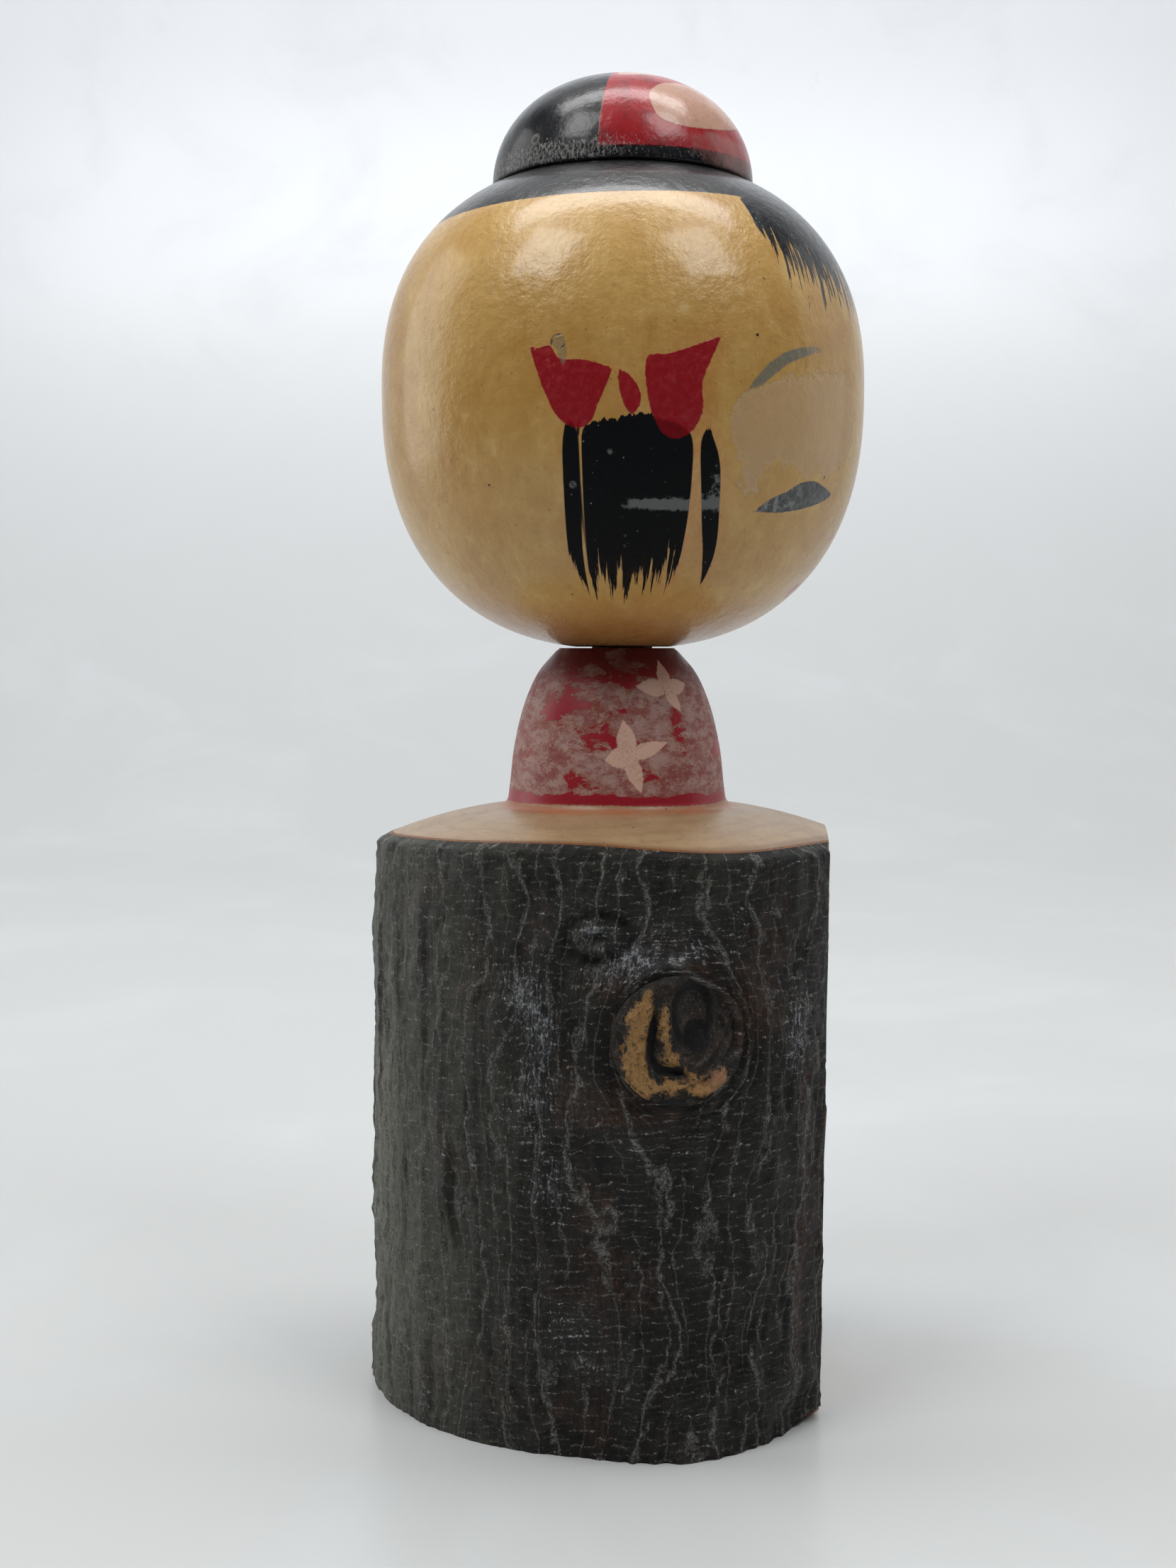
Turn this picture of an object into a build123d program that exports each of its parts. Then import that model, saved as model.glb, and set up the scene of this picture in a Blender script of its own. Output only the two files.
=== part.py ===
"""Kokeshi doll on a length of unpeeled branch, in millimetres.

The doll stands on z = 0 and faces -Y.  The Z axis is the neck peg's axis, about which the
head turns.  The bust and the top of the branch were turned in one piece on a lathe axis
that lies BODY_OFFSET behind the neck peg.
"""
from build123d import *
import os
from math import asin, cos, pi, radians, sin, tan

# Branch: a length of small trunk with its bark on, sawn flat on the doll's front
BRANCH_R = 27.35          # mean radius over the bark
BRANCH_LOBES = (          # (number of lobes, rise in mm, heading of one crest in degrees)
    (1, 0.50, 125.0),
    (2, 0.97, -14.5),
    (3, 0.25, -55.0),
    (4, 0.21, 14.0),
    (5, 0.20, 8.0),
    (6, 0.22, -1.0),
)
BRANCH_LEAN = 0.5         # degrees that the trunk leans towards the front as it rises
BARK_T = 1.6              # dead outer bark
BAST_T = 0.45             # brown living bark between the outer bark and the wood
FRONT_CUT = 3.7           # depth of the sawn front flat below the mean radius
SECTION_POINTS = 72       # points round the branch's outline

# Turned top of the branch and the bust that rises from it
BODY_OFFSET = 0.6         # lathe axis behind the neck peg
SHOULDER_Z = 67.5         # height where the bust rises out of the branch
SHOULDER_SLOPE = 0.12     # fall per mm where the shoulder starts
SHOULDER_CURVE_R = 45.0   # radius of the shoulder's convex curve
BUST_R = 12.6
BUST_HEIGHT = 18.2
BUST_FOOT_FILLET = 1.3
BUST_TOP_FILLET = 0.3
BUST_OUTLINE = (          # (share of the height, share of the radius), foot to neck
    (0.30, 0.953),
    (0.53, 0.888),
    (0.70, 0.812),
    (0.85, 0.709),
    (1.00, 0.535),
)

# Head: a rounded-square (superellipse) outline turned about the peg axis
HEAD_GAP = 0.15           # air between the bust and the head
HEAD_R = 27.5
HEAD_BELOW = 28.9         # equator down to the pole of the outline
HEAD_ABOVE = 25.55        # equator up to the other pole
HEAD_EXPONENT = 2.38
HEAD_SEAT_CUT = 0.25      # turned off the lower pole as a seat
HEAD_CROWN_CUT = 2.45     # turned off the upper pole as the topknot's seat
HEAD_POINTS = 9           # points on each half of the outline

# Topknot: a turned dome glued on the crown
TOPKNOT_R = 14.8
TOPKNOT_HEIGHT = 12.4
TOPKNOT_EXPONENT = 2.14
TOPKNOT_EDGE_FILLET = 0.4

# Pegs
PEG_R = 3.5               # neck peg, glued in the bust, turning in the head
PEG_IN_BODY = 16.0
PEG_IN_HEAD = 18.0
PEG_CHAMFER = 0.6
RUNNING_CLEARANCE = 0.06  # radial, round the part of the neck peg that turns
TOPKNOT_PEG_R = 3.0       # glued both ends
TOPKNOT_PEG_DEPTH = 7.0   # into the head and into the topknot alike
BORE_END_CLEARANCE = 0.8  # air past the end of each peg

# Dead knot: the stub of a side branch, grown round by the trunk
KNOT_R = 6.2
KNOT_HEADING = -72.6
KNOT_Z = 45.0
KNOT_DEPTH = 9.0          # into the wood, measured from the bark's surface
KNOT_SINK = 0.7           # its worn face below the bark's surface

# Places that follow from the sizes above
BUST_TOP_Z = SHOULDER_Z + BUST_HEIGHT
HEAD_SEAT_Z = BUST_TOP_Z + HEAD_GAP
HEAD_EQUATOR_Z = HEAD_SEAT_Z + HEAD_BELOW - HEAD_SEAT_CUT
CROWN_Z = HEAD_EQUATOR_Z + HEAD_ABOVE - HEAD_CROWN_CUT
TOTAL_Z = CROWN_Z + TOPKNOT_HEIGHT
CLEAR = 20.0              # how far cutting shapes run past what they cut
LATHE_REACH = 5.0         # how far the turned shoulder's outline runs past the mean radius
UPRIGHT = (Align.CENTER, Align.CENTER, Align.MIN)  # cylinders stand on their lower end


def branch_radius(heading):
    """Radius over the bark at a heading in degrees, 0 at the front (-Y) and 90 at +X."""
    lobes = (rise * cos(radians(count * (heading - crest))) for count, rise, crest in BRANCH_LOBES)
    return BRANCH_R + sum(lobes)


def heading_vector(heading):
    """Level unit vector at a heading."""
    return Vector(sin(radians(heading)), -cos(radians(heading)), 0)


def branch_column(inset):
    """Leaning column with the branch's outline, inset from the bark's surface."""
    outline = []
    for index in range(SECTION_POINTS):
        heading = 360.0 * index / SECTION_POINTS
        outline.append(heading_vector(heading) * (branch_radius(heading) - inset))
    section = make_face(Spline(*outline, periodic=True))
    lean = radians(BRANCH_LEAN)
    return extrude(section, amount=BUST_TOP_Z + CLEAR, dir=(0, -sin(lean), cos(lean)))


def front_keep():
    """Block that holds what the front saw cut leaves, leaning with the trunk."""
    side = 2 * (BRANCH_R + CLEAR)
    height = 2 * (BUST_TOP_Z + CLEAR)
    block = Pos(0, side / 2 - (BRANCH_R - FRONT_CUT), 0) * Box(side, side, height)
    return Rot(BRANCH_LEAN, 0, 0) * block


def shoulder_z(radius):
    """Height of the turned shoulder at a radius from the lathe axis."""
    run = radius - (BUST_R + BUST_FOOT_FILLET)
    return SHOULDER_Z - SHOULDER_SLOPE * run - run**2 / (2 * SHOULDER_CURVE_R)


def turned(*lines):
    """Solid turned about Z from the closed outline that the lines make in the XZ plane."""
    return revolve(make_face(Wire(lines)), Axis.Z)


def lathe_envelope():
    """Everything below the turned shoulder and inside the turned bust."""
    foot_r = BUST_R + BUST_FOOT_FILLET
    edge_r = BRANCH_R + LATHE_REACH
    mid_r = (foot_r + edge_r) / 2
    foot = (foot_r, 0, SHOULDER_Z)
    middle = (mid_r, 0, shoulder_z(mid_r))
    edge = (edge_r, 0, shoulder_z(edge_r))
    corner = BUST_FOOT_FILLET * (1 - cos(pi / 4))
    bust_foot_z = SHOULDER_Z + BUST_FOOT_FILLET
    bust = [(BUST_R, 0, bust_foot_z)]
    for height_share, radius_share in BUST_OUTLINE:
        rise = (BUST_HEIGHT - BUST_FOOT_FILLET) * height_share
        bust.append((BUST_R * radius_share, 0, bust_foot_z + rise))
    shape = turned(
        Line((0, 0, 0), (edge_r, 0, 0)),
        Line((edge_r, 0, 0), edge),
        ThreePointArc(edge, middle, foot),
        ThreePointArc(foot, (BUST_R + corner, 0, SHOULDER_Z + corner), bust[0]),
        Spline(*bust),
        Line(bust[-1], (0, 0, BUST_TOP_Z)),
        Line((0, 0, BUST_TOP_Z), (0, 0, 0)),
    )
    return fillet(shape.edges().group_by(Axis.Z)[-1], BUST_TOP_FILLET)


def superellipse_arc(radius, half_height, exponent, cut, count):
    """(radius, height) points from the equator up to a level cut below the pole."""
    end = asin((1 - cut / half_height) ** (exponent / 2))
    points = []
    for index in range(count):
        angle = end * index / (count - 1)
        across = radius * cos(angle) ** (2 / exponent)
        points.append((across, half_height * sin(angle) ** (2 / exponent)))
    return points


def peg(radius, bottom, top):
    """Round dowel with chamfered ends, on the Z axis."""
    dowel = Pos(0, 0, bottom) * Cylinder(radius, top - bottom, align=UPRIGHT)
    return chamfer(dowel.edges().filter_by(GeomType.CIRCLE), PEG_CHAMFER)


def bore(radius, bottom, top):
    """Round hole on the Z axis."""
    return Pos(0, 0, bottom) * Cylinder(radius, top - bottom, align=UPRIGHT)


def knot_plug():
    """Round plug that holds the knot and, cut from the wood and bark, its socket."""
    outward = heading_vector(KNOT_HEADING)
    pith = Vector(0, BODY_OFFSET - KNOT_Z * tan(radians(BRANCH_LEAN)), KNOT_Z)
    surface = pith + outward * branch_radius(KNOT_HEADING)
    along = Plane(origin=surface - outward * KNOT_DEPTH, z_dir=outward)
    return along * Cylinder(KNOT_R, KNOT_DEPTH + CLEAR, align=UPRIGHT)


def make_branch():
    """The trunk's four pieces: turned core, bast, bark and knot."""
    on_lathe = Pos(0, BODY_OFFSET, 0)
    over_bark = on_lathe * branch_column(0)
    under_bark = on_lathe * branch_column(BARK_T)
    wood = on_lathe * branch_column(BARK_T + BAST_T)
    kept = (on_lathe * lathe_envelope()) & (on_lathe * front_keep())
    socket = knot_plug()
    neck_bore = bore(PEG_R, BUST_TOP_Z - PEG_IN_BODY - BORE_END_CLEARANCE, BUST_TOP_Z + CLEAR)
    return {
        "branch_core": (wood & kept) - socket - neck_bore,
        "inner_bark": ((under_bark & kept) - wood) - socket,
        "bark": ((over_bark & kept) - under_bark) - socket,
        "branch_knot": socket & (on_lathe * branch_column(KNOT_SINK)),
    }


def make_head():
    """Turned head, bored for the neck peg below and the topknot's peg above."""
    lower = superellipse_arc(HEAD_R, HEAD_BELOW, HEAD_EXPONENT, HEAD_SEAT_CUT, HEAD_POINTS)
    upper = superellipse_arc(HEAD_R, HEAD_ABOVE, HEAD_EXPONENT, HEAD_CROWN_CUT, HEAD_POINTS)
    outline = [(radius, 0, HEAD_EQUATOR_Z - drop) for radius, drop in reversed(lower)]
    outline += [(radius, 0, HEAD_EQUATOR_Z + rise) for radius, rise in upper[1:]]
    ball = turned(
        Line((0, 0, HEAD_SEAT_Z), outline[0]),
        Spline(*outline),
        Line(outline[-1], (0, 0, CROWN_Z)),
        Line((0, 0, CROWN_Z), (0, 0, HEAD_SEAT_Z)),
    )
    neck_top = BUST_TOP_Z + PEG_IN_HEAD + BORE_END_CLEARANCE
    neck_bore = bore(PEG_R + RUNNING_CLEARANCE, HEAD_SEAT_Z - CLEAR, neck_top)
    knot_bottom = CROWN_Z - TOPKNOT_PEG_DEPTH - BORE_END_CLEARANCE
    knot_bore = bore(TOPKNOT_PEG_R, knot_bottom, CROWN_Z + CLEAR)
    return ball - neck_bore - knot_bore


def make_topknot():
    """Turned dome with a flat base, bored for its peg."""
    arc = superellipse_arc(TOPKNOT_R, TOPKNOT_HEIGHT, TOPKNOT_EXPONENT, 0, HEAD_POINTS)
    outline = [(radius, 0, CROWN_Z + rise) for radius, rise in arc[:-1]]
    top = (0, 0, TOTAL_Z)
    dome = turned(
        Line((0, 0, CROWN_Z), outline[0]),
        Spline(*outline, top, tangents=((0, 0, 1), (-1, 0, 0))),
        Line(top, (0, 0, CROWN_Z)),
    )
    dome = fillet(dome.edges().group_by(Axis.Z)[0], TOPKNOT_EDGE_FILLET)
    return dome - bore(TOPKNOT_PEG_R, CROWN_Z - CLEAR, CROWN_Z + TOPKNOT_PEG_DEPTH + BORE_END_CLEARANCE)


def make_doll():
    """All pieces by name."""
    pieces = make_branch()
    pieces["neck_peg"] = peg(PEG_R, BUST_TOP_Z - PEG_IN_BODY, BUST_TOP_Z + PEG_IN_HEAD)
    pieces["head"] = make_head()
    pieces["topknot_peg"] = peg(TOPKNOT_PEG_R, CROWN_Z - TOPKNOT_PEG_DEPTH, CROWN_Z + TOPKNOT_PEG_DEPTH)
    pieces["topknot"] = make_topknot()
    return pieces


os.makedirs("parts", exist_ok=True)
for name, piece in make_doll().items():
    export_step(piece, f"parts/{name}.step")
print(f"height {TOTAL_Z:.2f} mm, head {2 * HEAD_R:.1f} mm across")
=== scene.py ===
"""Kokeshi doll: a painted head, topknot and bust, turned from wood, on a length of barked branch.

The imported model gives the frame: metres, +Z up, the doll's front towards -Y.  Headings are
radians round a vertical axis, 0 at the front and growing towards +X.  Surface maps (UV) are in
millimetres: the first number runs round a piece and the second up it.
"""

import logging
from dataclasses import dataclass, field
from enum import Enum
from math import cos, pi, radians, sin, tan
from typing import Optional, Union

import bpy
import numpy as np
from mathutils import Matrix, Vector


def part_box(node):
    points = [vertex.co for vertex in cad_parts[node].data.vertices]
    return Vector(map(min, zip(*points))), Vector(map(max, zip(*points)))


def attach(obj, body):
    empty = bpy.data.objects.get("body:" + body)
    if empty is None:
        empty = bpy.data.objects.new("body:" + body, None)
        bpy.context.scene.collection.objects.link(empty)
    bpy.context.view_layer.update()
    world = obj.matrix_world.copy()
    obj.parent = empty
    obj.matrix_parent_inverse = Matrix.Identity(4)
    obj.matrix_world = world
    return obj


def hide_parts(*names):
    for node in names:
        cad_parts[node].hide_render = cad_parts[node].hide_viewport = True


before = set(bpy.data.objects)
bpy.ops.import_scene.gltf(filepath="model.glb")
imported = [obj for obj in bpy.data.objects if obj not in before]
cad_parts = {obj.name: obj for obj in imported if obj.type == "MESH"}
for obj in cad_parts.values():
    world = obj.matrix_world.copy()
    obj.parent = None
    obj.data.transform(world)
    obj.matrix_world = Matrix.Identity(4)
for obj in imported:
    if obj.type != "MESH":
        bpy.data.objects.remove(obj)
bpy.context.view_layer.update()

MM = 0.001
SURFACE_MAP = "surface"
NO_SEAM = 1e9
Array = np.ndarray
Colour = tuple[float, float, float, float]
Number = Union["Value", float]
Layer = Union["Value", Colour]
Pair = tuple[float, float]
Triple = tuple[float, float, float]
Points = tuple[Pair, ...]
Spots = tuple[tuple[Pair, Pair, float], ...]
log = logging.getLogger("kokeshi")


class Body(Enum):
    """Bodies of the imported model."""

    BASE = "base"
    UPPER = "upper"


class Slot(Enum):
    """Material slots of the record."""

    WOOD = "turned_wood"
    BAST = "bast"
    BARK = "bark"
    KNOT = "knot_wood"
    DOWEL = "dowel"
    HEAD = "lacquered_head"
    TOPKNOT = "lacquered_topknot"


def paint(red: float, green: float, blue: float) -> Colour:
    """Linear colour from the 0 to 255 values of a paint chart.

    Args:
        red: Red value.
        green: Green value.
        blue: Blue value.

    Returns:
        The linear colour with an alpha of 1.
    """
    values = [v / 255 for v in (red, green, blue)]
    linear = [v / 12.92 if v <= 0.04045 else ((v + 0.055) / 1.055) ** 2.4 for v in values]
    return (linear[0], linear[1], linear[2], 1.0)


# Shader maths ------------------------------------------------------------------------------------


class Value:
    """One output of a node, with Python's operators for numbers that vary over a surface."""

    def __init__(self, shader: "Shader", socket: bpy.types.NodeSocket) -> None:
        """Keeps the socket and the shader that it belongs to."""
        self.shader = shader
        self.socket = socket

    def __add__(self, other: Number) -> "Value":
        """Sum."""
        return self.shader.maths("ADD", self, other)

    def __radd__(self, other: float) -> "Value":
        """Sum with a plain number first."""
        return self.shader.maths("ADD", other, self)

    def __sub__(self, other: Number) -> "Value":
        """Difference."""
        return self.shader.maths("SUBTRACT", self, other)

    def __rsub__(self, other: float) -> "Value":
        """Difference from a plain number."""
        return self.shader.maths("SUBTRACT", other, self)

    def __mul__(self, other: Number) -> "Value":
        """Product."""
        return self.shader.maths("MULTIPLY", self, other)

    def __rmul__(self, other: float) -> "Value":
        """Product with a plain number first."""
        return self.shader.maths("MULTIPLY", other, self)

    def __abs__(self) -> "Value":
        """Size without sign."""
        return self.shader.maths("ABSOLUTE", self)

    def most(self, other: Number) -> "Value":
        """The larger of two values."""
        return self.shader.maths("MAXIMUM", self, other)

    def least(self, other: Number) -> "Value":
        """The smaller of two values."""
        return self.shader.maths("MINIMUM", self, other)

    def rise(self, low: float, high: float) -> "Value":
        """0 below low and 1 above high, smooth between; it falls where low is above high.

        Args:
            low: Where the result is 0.
            high: Where the result is 1.

        Returns:
            The mask.
        """
        settings = {"interpolation_type": "SMOOTHSTEP"}
        falls = low > high
        start, end = (high, low) if falls else (low, high)
        spread = {0: self, 1: start, 2: end, 3: float(falls), 4: float(not falls)}
        return self.shader.node("ShaderNodeMapRange", settings, spread)


class Shader:
    """Builds the node tree of one material."""

    def __init__(self, name: str) -> None:
        """Starts an empty material with the two coordinates that every finish reads.

        Args:
            name: The material's name.
        """
        self.material = bpy.data.materials.new(name)
        self.material.use_nodes = True
        self.tree = self.material.node_tree
        self.tree.nodes.clear()
        here = self.node("ShaderNodeTexCoord", output="Object")
        self.place = self.scaled(here, (1 / MM, 1 / MM, 1 / MM))
        self.surface = self.node("ShaderNodeUVMap", {"uv_map": SURFACE_MAP})

    def node(
        self,
        kind: str,
        settings: Optional[dict] = None,
        inputs: Optional[dict] = None,
        output: Union[int, str] = 0,
    ) -> Value:
        """Adds a node.

        Args:
            kind: Blender's name of the node type.
            settings: The node's own settings, which are set first.
            inputs: Socket name or number to a constant or a Value.
            output: Socket name or number of the result.

        Returns:
            The chosen output.
        """
        made = self.tree.nodes.new(kind)
        for key, setting in (settings or {}).items():
            setattr(made, key, setting)
        for key, given in (inputs or {}).items():
            if isinstance(given, Value):
                self.tree.links.new(given.socket, made.inputs[key])
            else:
                made.inputs[key].default_value = given
        return Value(self, made.outputs[output])

    def maths(self, operation: str, *operands: Number) -> Value:
        """A Math node's result for one or two operands."""
        return self.node("ShaderNodeMath", {"operation": operation}, dict(enumerate(operands)))

    def scaled(self, vector: Value, factors: Triple) -> Value:
        """A vector with each of its parts multiplied by its own factor."""
        settings = {"operation": "MULTIPLY"}
        return self.node("ShaderNodeVectorMath", settings, {0: vector, 1: factors})

    def shifted(self, vector: Value, offset: Triple) -> Value:
        """A vector with an offset added."""
        return self.node("ShaderNodeVectorMath", {"operation": "ADD"}, {0: vector, 1: offset})

    def part(self, vector: Value, axis: str) -> Value:
        """One part, X, Y or Z, of a vector."""
        return self.node("ShaderNodeSeparateXYZ", None, {0: vector}, axis)

    def mark(self, name: str) -> Value:
        """A piece's own attribute."""
        return self.node("ShaderNodeAttribute", {"attribute_name": name}, None, "Fac")

    def noise(
        self,
        vector: Value,
        cells: Triple,
        detail: float,
        rough: float,
        bend: float = 0.0,
        offset: Optional[Triple] = None,
    ) -> Value:
        """Smooth noise, from 0 to 1 about 0.5.

        Args:
            vector: Where the noise is read.
            cells: Cells per unit of the vector, along each of its parts.
            detail: Number of finer layers.
            rough: Weight of the finer layers.
            bend: Distortion of the noise by itself.
            offset: How many cells the noise is shifted by.

        Returns:
            The noise.
        """
        spot = self.scaled(vector, cells)
        if offset:
            spot = self.shifted(spot, offset)
        inputs = {
            "Vector": spot, "Scale": 1.0, "Detail": detail, "Roughness": rough, "Distortion": bend
        }
        return self.node("ShaderNodeTexNoise", None, inputs)

    def specks(self, cells: float, low: float, high: float) -> Value:
        """Dots at the points of a random scatter, one in each cell of a grid.

        Args:
            cells: Cells per millimetre.
            low: Radius of a dot, as a share of a cell.
            high: Radius at which its soft edge ends.

        Returns:
            The mask, 1 in a dot.
        """
        spot = self.scaled(self.place, (cells, cells, cells))
        inputs = {"Vector": spot, "Scale": 1.0}
        away = self.node("ShaderNodeTexVoronoi", {"feature": "F1"}, inputs, "Distance")
        return 1.0 - away.rise(low, high)

    def brushed(self, name: str, noise: Value, rough: float, soft: float) -> Value:
        """Mask of a painted mark, its edge moved by a noise times rough and soft by soft, in mm."""
        return (self.mark(name) + (noise - 0.5) * rough).rise(-soft, soft)

    def lay(self, under: Layer, over: Layer, share: Number) -> Value:
        """One colour with a share, 0 to 1, of another laid over it."""
        settings = {"data_type": "RGBA", "blend_type": "MIX", "clamp_factor": True}
        return self.node("ShaderNodeMix", settings, {0: share, 6: under, 7: over}, 2)

    def bumped(self, height: Value) -> Value:
        """Surface normal for a height in millimetres."""
        inputs = {"Strength": 1.0, "Distance": MM, "Height": height}
        return self.node("ShaderNodeBump", None, inputs)

    def skin(self, **sockets: Union[Number, Colour]) -> Value:
        """A Principled shader; sockets are named with underscores for blanks."""
        inputs = {name.replace("_", " "): given for name, given in sockets.items()}
        return self.node("ShaderNodeBsdfPrincipled", None, inputs)

    def finish(self, skin: Value) -> bpy.types.Material:
        """Ends the tree in a shader.

        Args:
            skin: The last shader.

        Returns:
            The material.
        """
        end = self.tree.nodes.new("ShaderNodeOutputMaterial")
        self.tree.links.new(skin.socket, end.inputs["Surface"])
        return self.material


# Surfaces ----------------------------------------------------------------------------------------


@dataclass
class Skin:
    """Points and faces of one closed piece, before it becomes a mesh."""

    points: Array
    quads: Array
    triangles: Array
    surface: Array
    turn: float
    marks: dict[str, Array] = field(default_factory=dict)

    def make(
        self, name: str, material: bpy.types.Material, sharp: float = 40.0
    ) -> bpy.types.Object:
        """Makes the mesh object.

        Args:
            name: The piece's name.
            material: Its finish.
            sharp: Edges that turn by more than this many degrees are drawn sharp.

        Returns:
            The object, at the origin.
        """
        mesh = bpy.data.meshes.new(name)
        mesh.from_pydata(self.points.tolist(), [], self.quads.tolist() + self.triangles.tolist())
        corners = np.concatenate([self._laid_out(self.quads), self._laid_out(self.triangles)])
        layer = mesh.uv_layers.new(name=SURFACE_MAP)
        layer.data.foreach_set("uv", corners.astype(np.float32).ravel())
        for mark, values in self.marks.items():
            attribute = mesh.attributes.new(mark, "FLOAT", "POINT")
            attribute.data.foreach_set("value", np.asarray(values, np.float32).ravel())
        mesh.shade_smooth()
        mesh.set_sharp_from_angle(angle=radians(sharp))
        mesh.materials.append(material)
        made = bpy.data.objects.new(name, mesh)
        bpy.context.scene.collection.objects.link(made)
        return made

    def _laid_out(self, faces: Array) -> Array:
        """Surface map of each corner, with faces across the seam moved on by one turn.

        Args:
            faces: Faces, as rows of point numbers.

        Returns:
            A (u, v) row for each corner.
        """
        flat = self.surface[faces]
        around = flat[..., 0]
        behind = around < around.max(axis=1, keepdims=True) - self.turn / 2
        flat[..., 0] = around + behind * self.turn
        return flat.reshape(-1, 2)


def direction(heading: Array) -> Array:
    """Level unit vectors at headings: (sin, -cos)."""
    return np.stack([np.sin(heading), -np.cos(heading)], axis=-1)


def grid_quads(rows: int, columns: int, closed: bool) -> Array:
    """Faces between neighbours of a grid whose points are numbered row by row.

    Args:
        rows: Number of rows, upwards.
        columns: Number of columns, growing in heading.
        closed: Whether the last column joins the first.

    Returns:
        The faces, facing outwards.
    """
    across = np.arange(columns if closed else columns - 1)
    row, column = np.meshgrid(np.arange(rows - 1), across, indexing="ij")
    near = (row * columns + column).ravel()
    far = (row * columns + (column + 1) % columns).ravel()
    return np.stack([near, far, far + columns, near + columns], axis=1)


def ribbon(first: Array, second: Array) -> Array:
    """Triangles between two lines of points that may differ in count.

    Each step along the longer line is joined to the point at the same share of the shorter
    line, and each step along the shorter line to the point of the longer line where that
    share changes.

    Args:
        first: Point numbers of the longer line.
        second: Point numbers of the shorter line, in the same direction.

    Returns:
        The triangles.
    """
    step = np.arange(len(first) - 1)
    share = step * (len(second) - 1) // (len(first) - 1)
    long_side = np.stack([first[step], first[step + 1], second[share]], axis=1)
    back = np.arange(len(second) - 1)
    change = np.searchsorted(share, back + 1, side="left")
    short_side = np.stack([first[change], second[back + 1], second[back]], axis=1)
    return np.concatenate([long_side, short_side])


def ringed_skin(rings: Array, start: Array, end: Array, surface: Array, turn: float) -> Skin:
    """Closed skin of rings that run from one pole to another.

    Args:
        rings: Points as (rows, columns, 3), each row closed round the axis.
        start: Pole that the first ring closes on.
        end: Pole that the last ring closes on.
        surface: Surface map as (rows, columns, 2).
        turn: Length of one turn on the surface map.

    Returns:
        The skin, its two poles numbered last.
    """
    rows, columns = rings.shape[:2]
    count = rows * columns
    ring = np.arange(columns)
    following = (ring + 1) % columns
    last = (rows - 1) * columns
    opening = np.stack([np.full(columns, count), following, ring], axis=1)
    closing = np.stack([last + ring, last + following, np.full(columns, count + 1)], axis=1)
    points = np.concatenate([rings.reshape(-1, 3), [start], [end]])
    poles = np.array([surface[0, 0], surface[-1, 0]])
    laid = np.concatenate([surface.reshape(-1, 2), poles])
    return Skin(
        points, grid_quads(rows, columns, True), np.concatenate([opening, closing]), laid, turn
    )


def turned_skin(profile: Array, columns: int, map_radius: float) -> tuple[Skin, Array, Array]:
    """Skin turned about the Z axis: every point is (r sin h, -r cos h, z) for a profile's r and z.

    Args:
        profile: (radius, height) rows, both ends on the axis.
        columns: Number of points round.
        map_radius: Radius at which the surface map is to scale.

    Returns:
        The skin, and the heading and height of each of its points.
    """
    heading = np.linspace(-pi, pi, columns, endpoint=False)
    inner = profile[1:-1]
    level = np.broadcast_to(inner[:, None, 1], (len(inner), columns))
    around = np.broadcast_to(heading, level.shape)
    flat = direction(around) * inner[:, None, :1]
    rings = np.concatenate([flat, level[..., None]], axis=-1)
    laid = np.stack([around * map_radius / MM, level / MM], axis=-1)
    start = np.array([0, 0, profile[0, 1]])
    end = np.array([0, 0, profile[-1, 1]])
    skin = ringed_skin(rings, start, end, laid, 2 * pi * map_radius / MM)
    headings = np.append(around.ravel(), [0, 0])
    heights = np.append(level.ravel(), [start[2], end[2]])
    return skin, headings, heights


def line(start: tuple[float, float], end: tuple[float, float], count: int) -> Array:
    """Evenly spaced (radius, height) points of a straight line, without its last one."""
    share = np.linspace(0, 1, count, endpoint=False)[:, None]
    return np.array(start) * (1 - share) + np.array(end) * share


def superellipse(radius: float, half: float, power: float, cut: float, count: int) -> Array:
    """(radius, rise) from the equator to a level cut below the pole.

    Both follow (r / radius)^power + (z / half)^power = 1, stepped by an angle.

    Args:
        radius: Radius at the equator.
        half: Rise of the pole.
        power: The exponent.
        cut: How far below the pole the outline ends.
        count: Number of points.

    Returns:
        The points.
    """
    last = np.arcsin((1 - cut / half) ** (power / 2))
    angle = np.linspace(0, last, count)
    across = np.clip(np.cos(angle), 0, 1) ** (2 / power)
    return np.stack([radius * across, half * np.sin(angle) ** (2 / power)], axis=1)


# Painted outlines and random relief --------------------------------------------------------------


def catmull_rom(knots: tuple[Array, Array, Array, Array], share: Array) -> Array:
    """Points of each span b to c of a Catmull-Rom curve, with the knots a before and d after it.

    They are half of 2b + (c - a) t + (2a - 5b + 4c - d) t^2 + (3b - a - 3c + d) t^3.

    Args:
        knots: The knots a, b, c and d, each with one row per span.
        share: The shares t of a span at which it has points.

    Returns:
        The points, span by span.
    """
    a, b, c, d = (rows[:, None] for rows in knots)
    t = share[None, :, None]
    curve = 0.5 * (
        2 * b
        + (c - a) * t
        + (2 * a - 5 * b + 4 * c - d) * t**2
        + (3 * b - a - 3 * c + d) * t**3
    )
    return curve.reshape(-1, 2)


def rounded(corners: Points, steps: int = 6) -> Array:
    """Closed outline through its corners as a Catmull-Rom curve; a corner given twice stays sharp.

    Args:
        corners: The corners in order.
        steps: Points per span.

    Returns:
        The outline's points.
    """
    knots = np.array(corners, float)
    before, after, later = np.roll(knots, 1, 0), np.roll(knots, -1, 0), np.roll(knots, -2, 0)
    return catmull_rom((before, knots, after, later), np.arange(steps) / steps)


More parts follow.
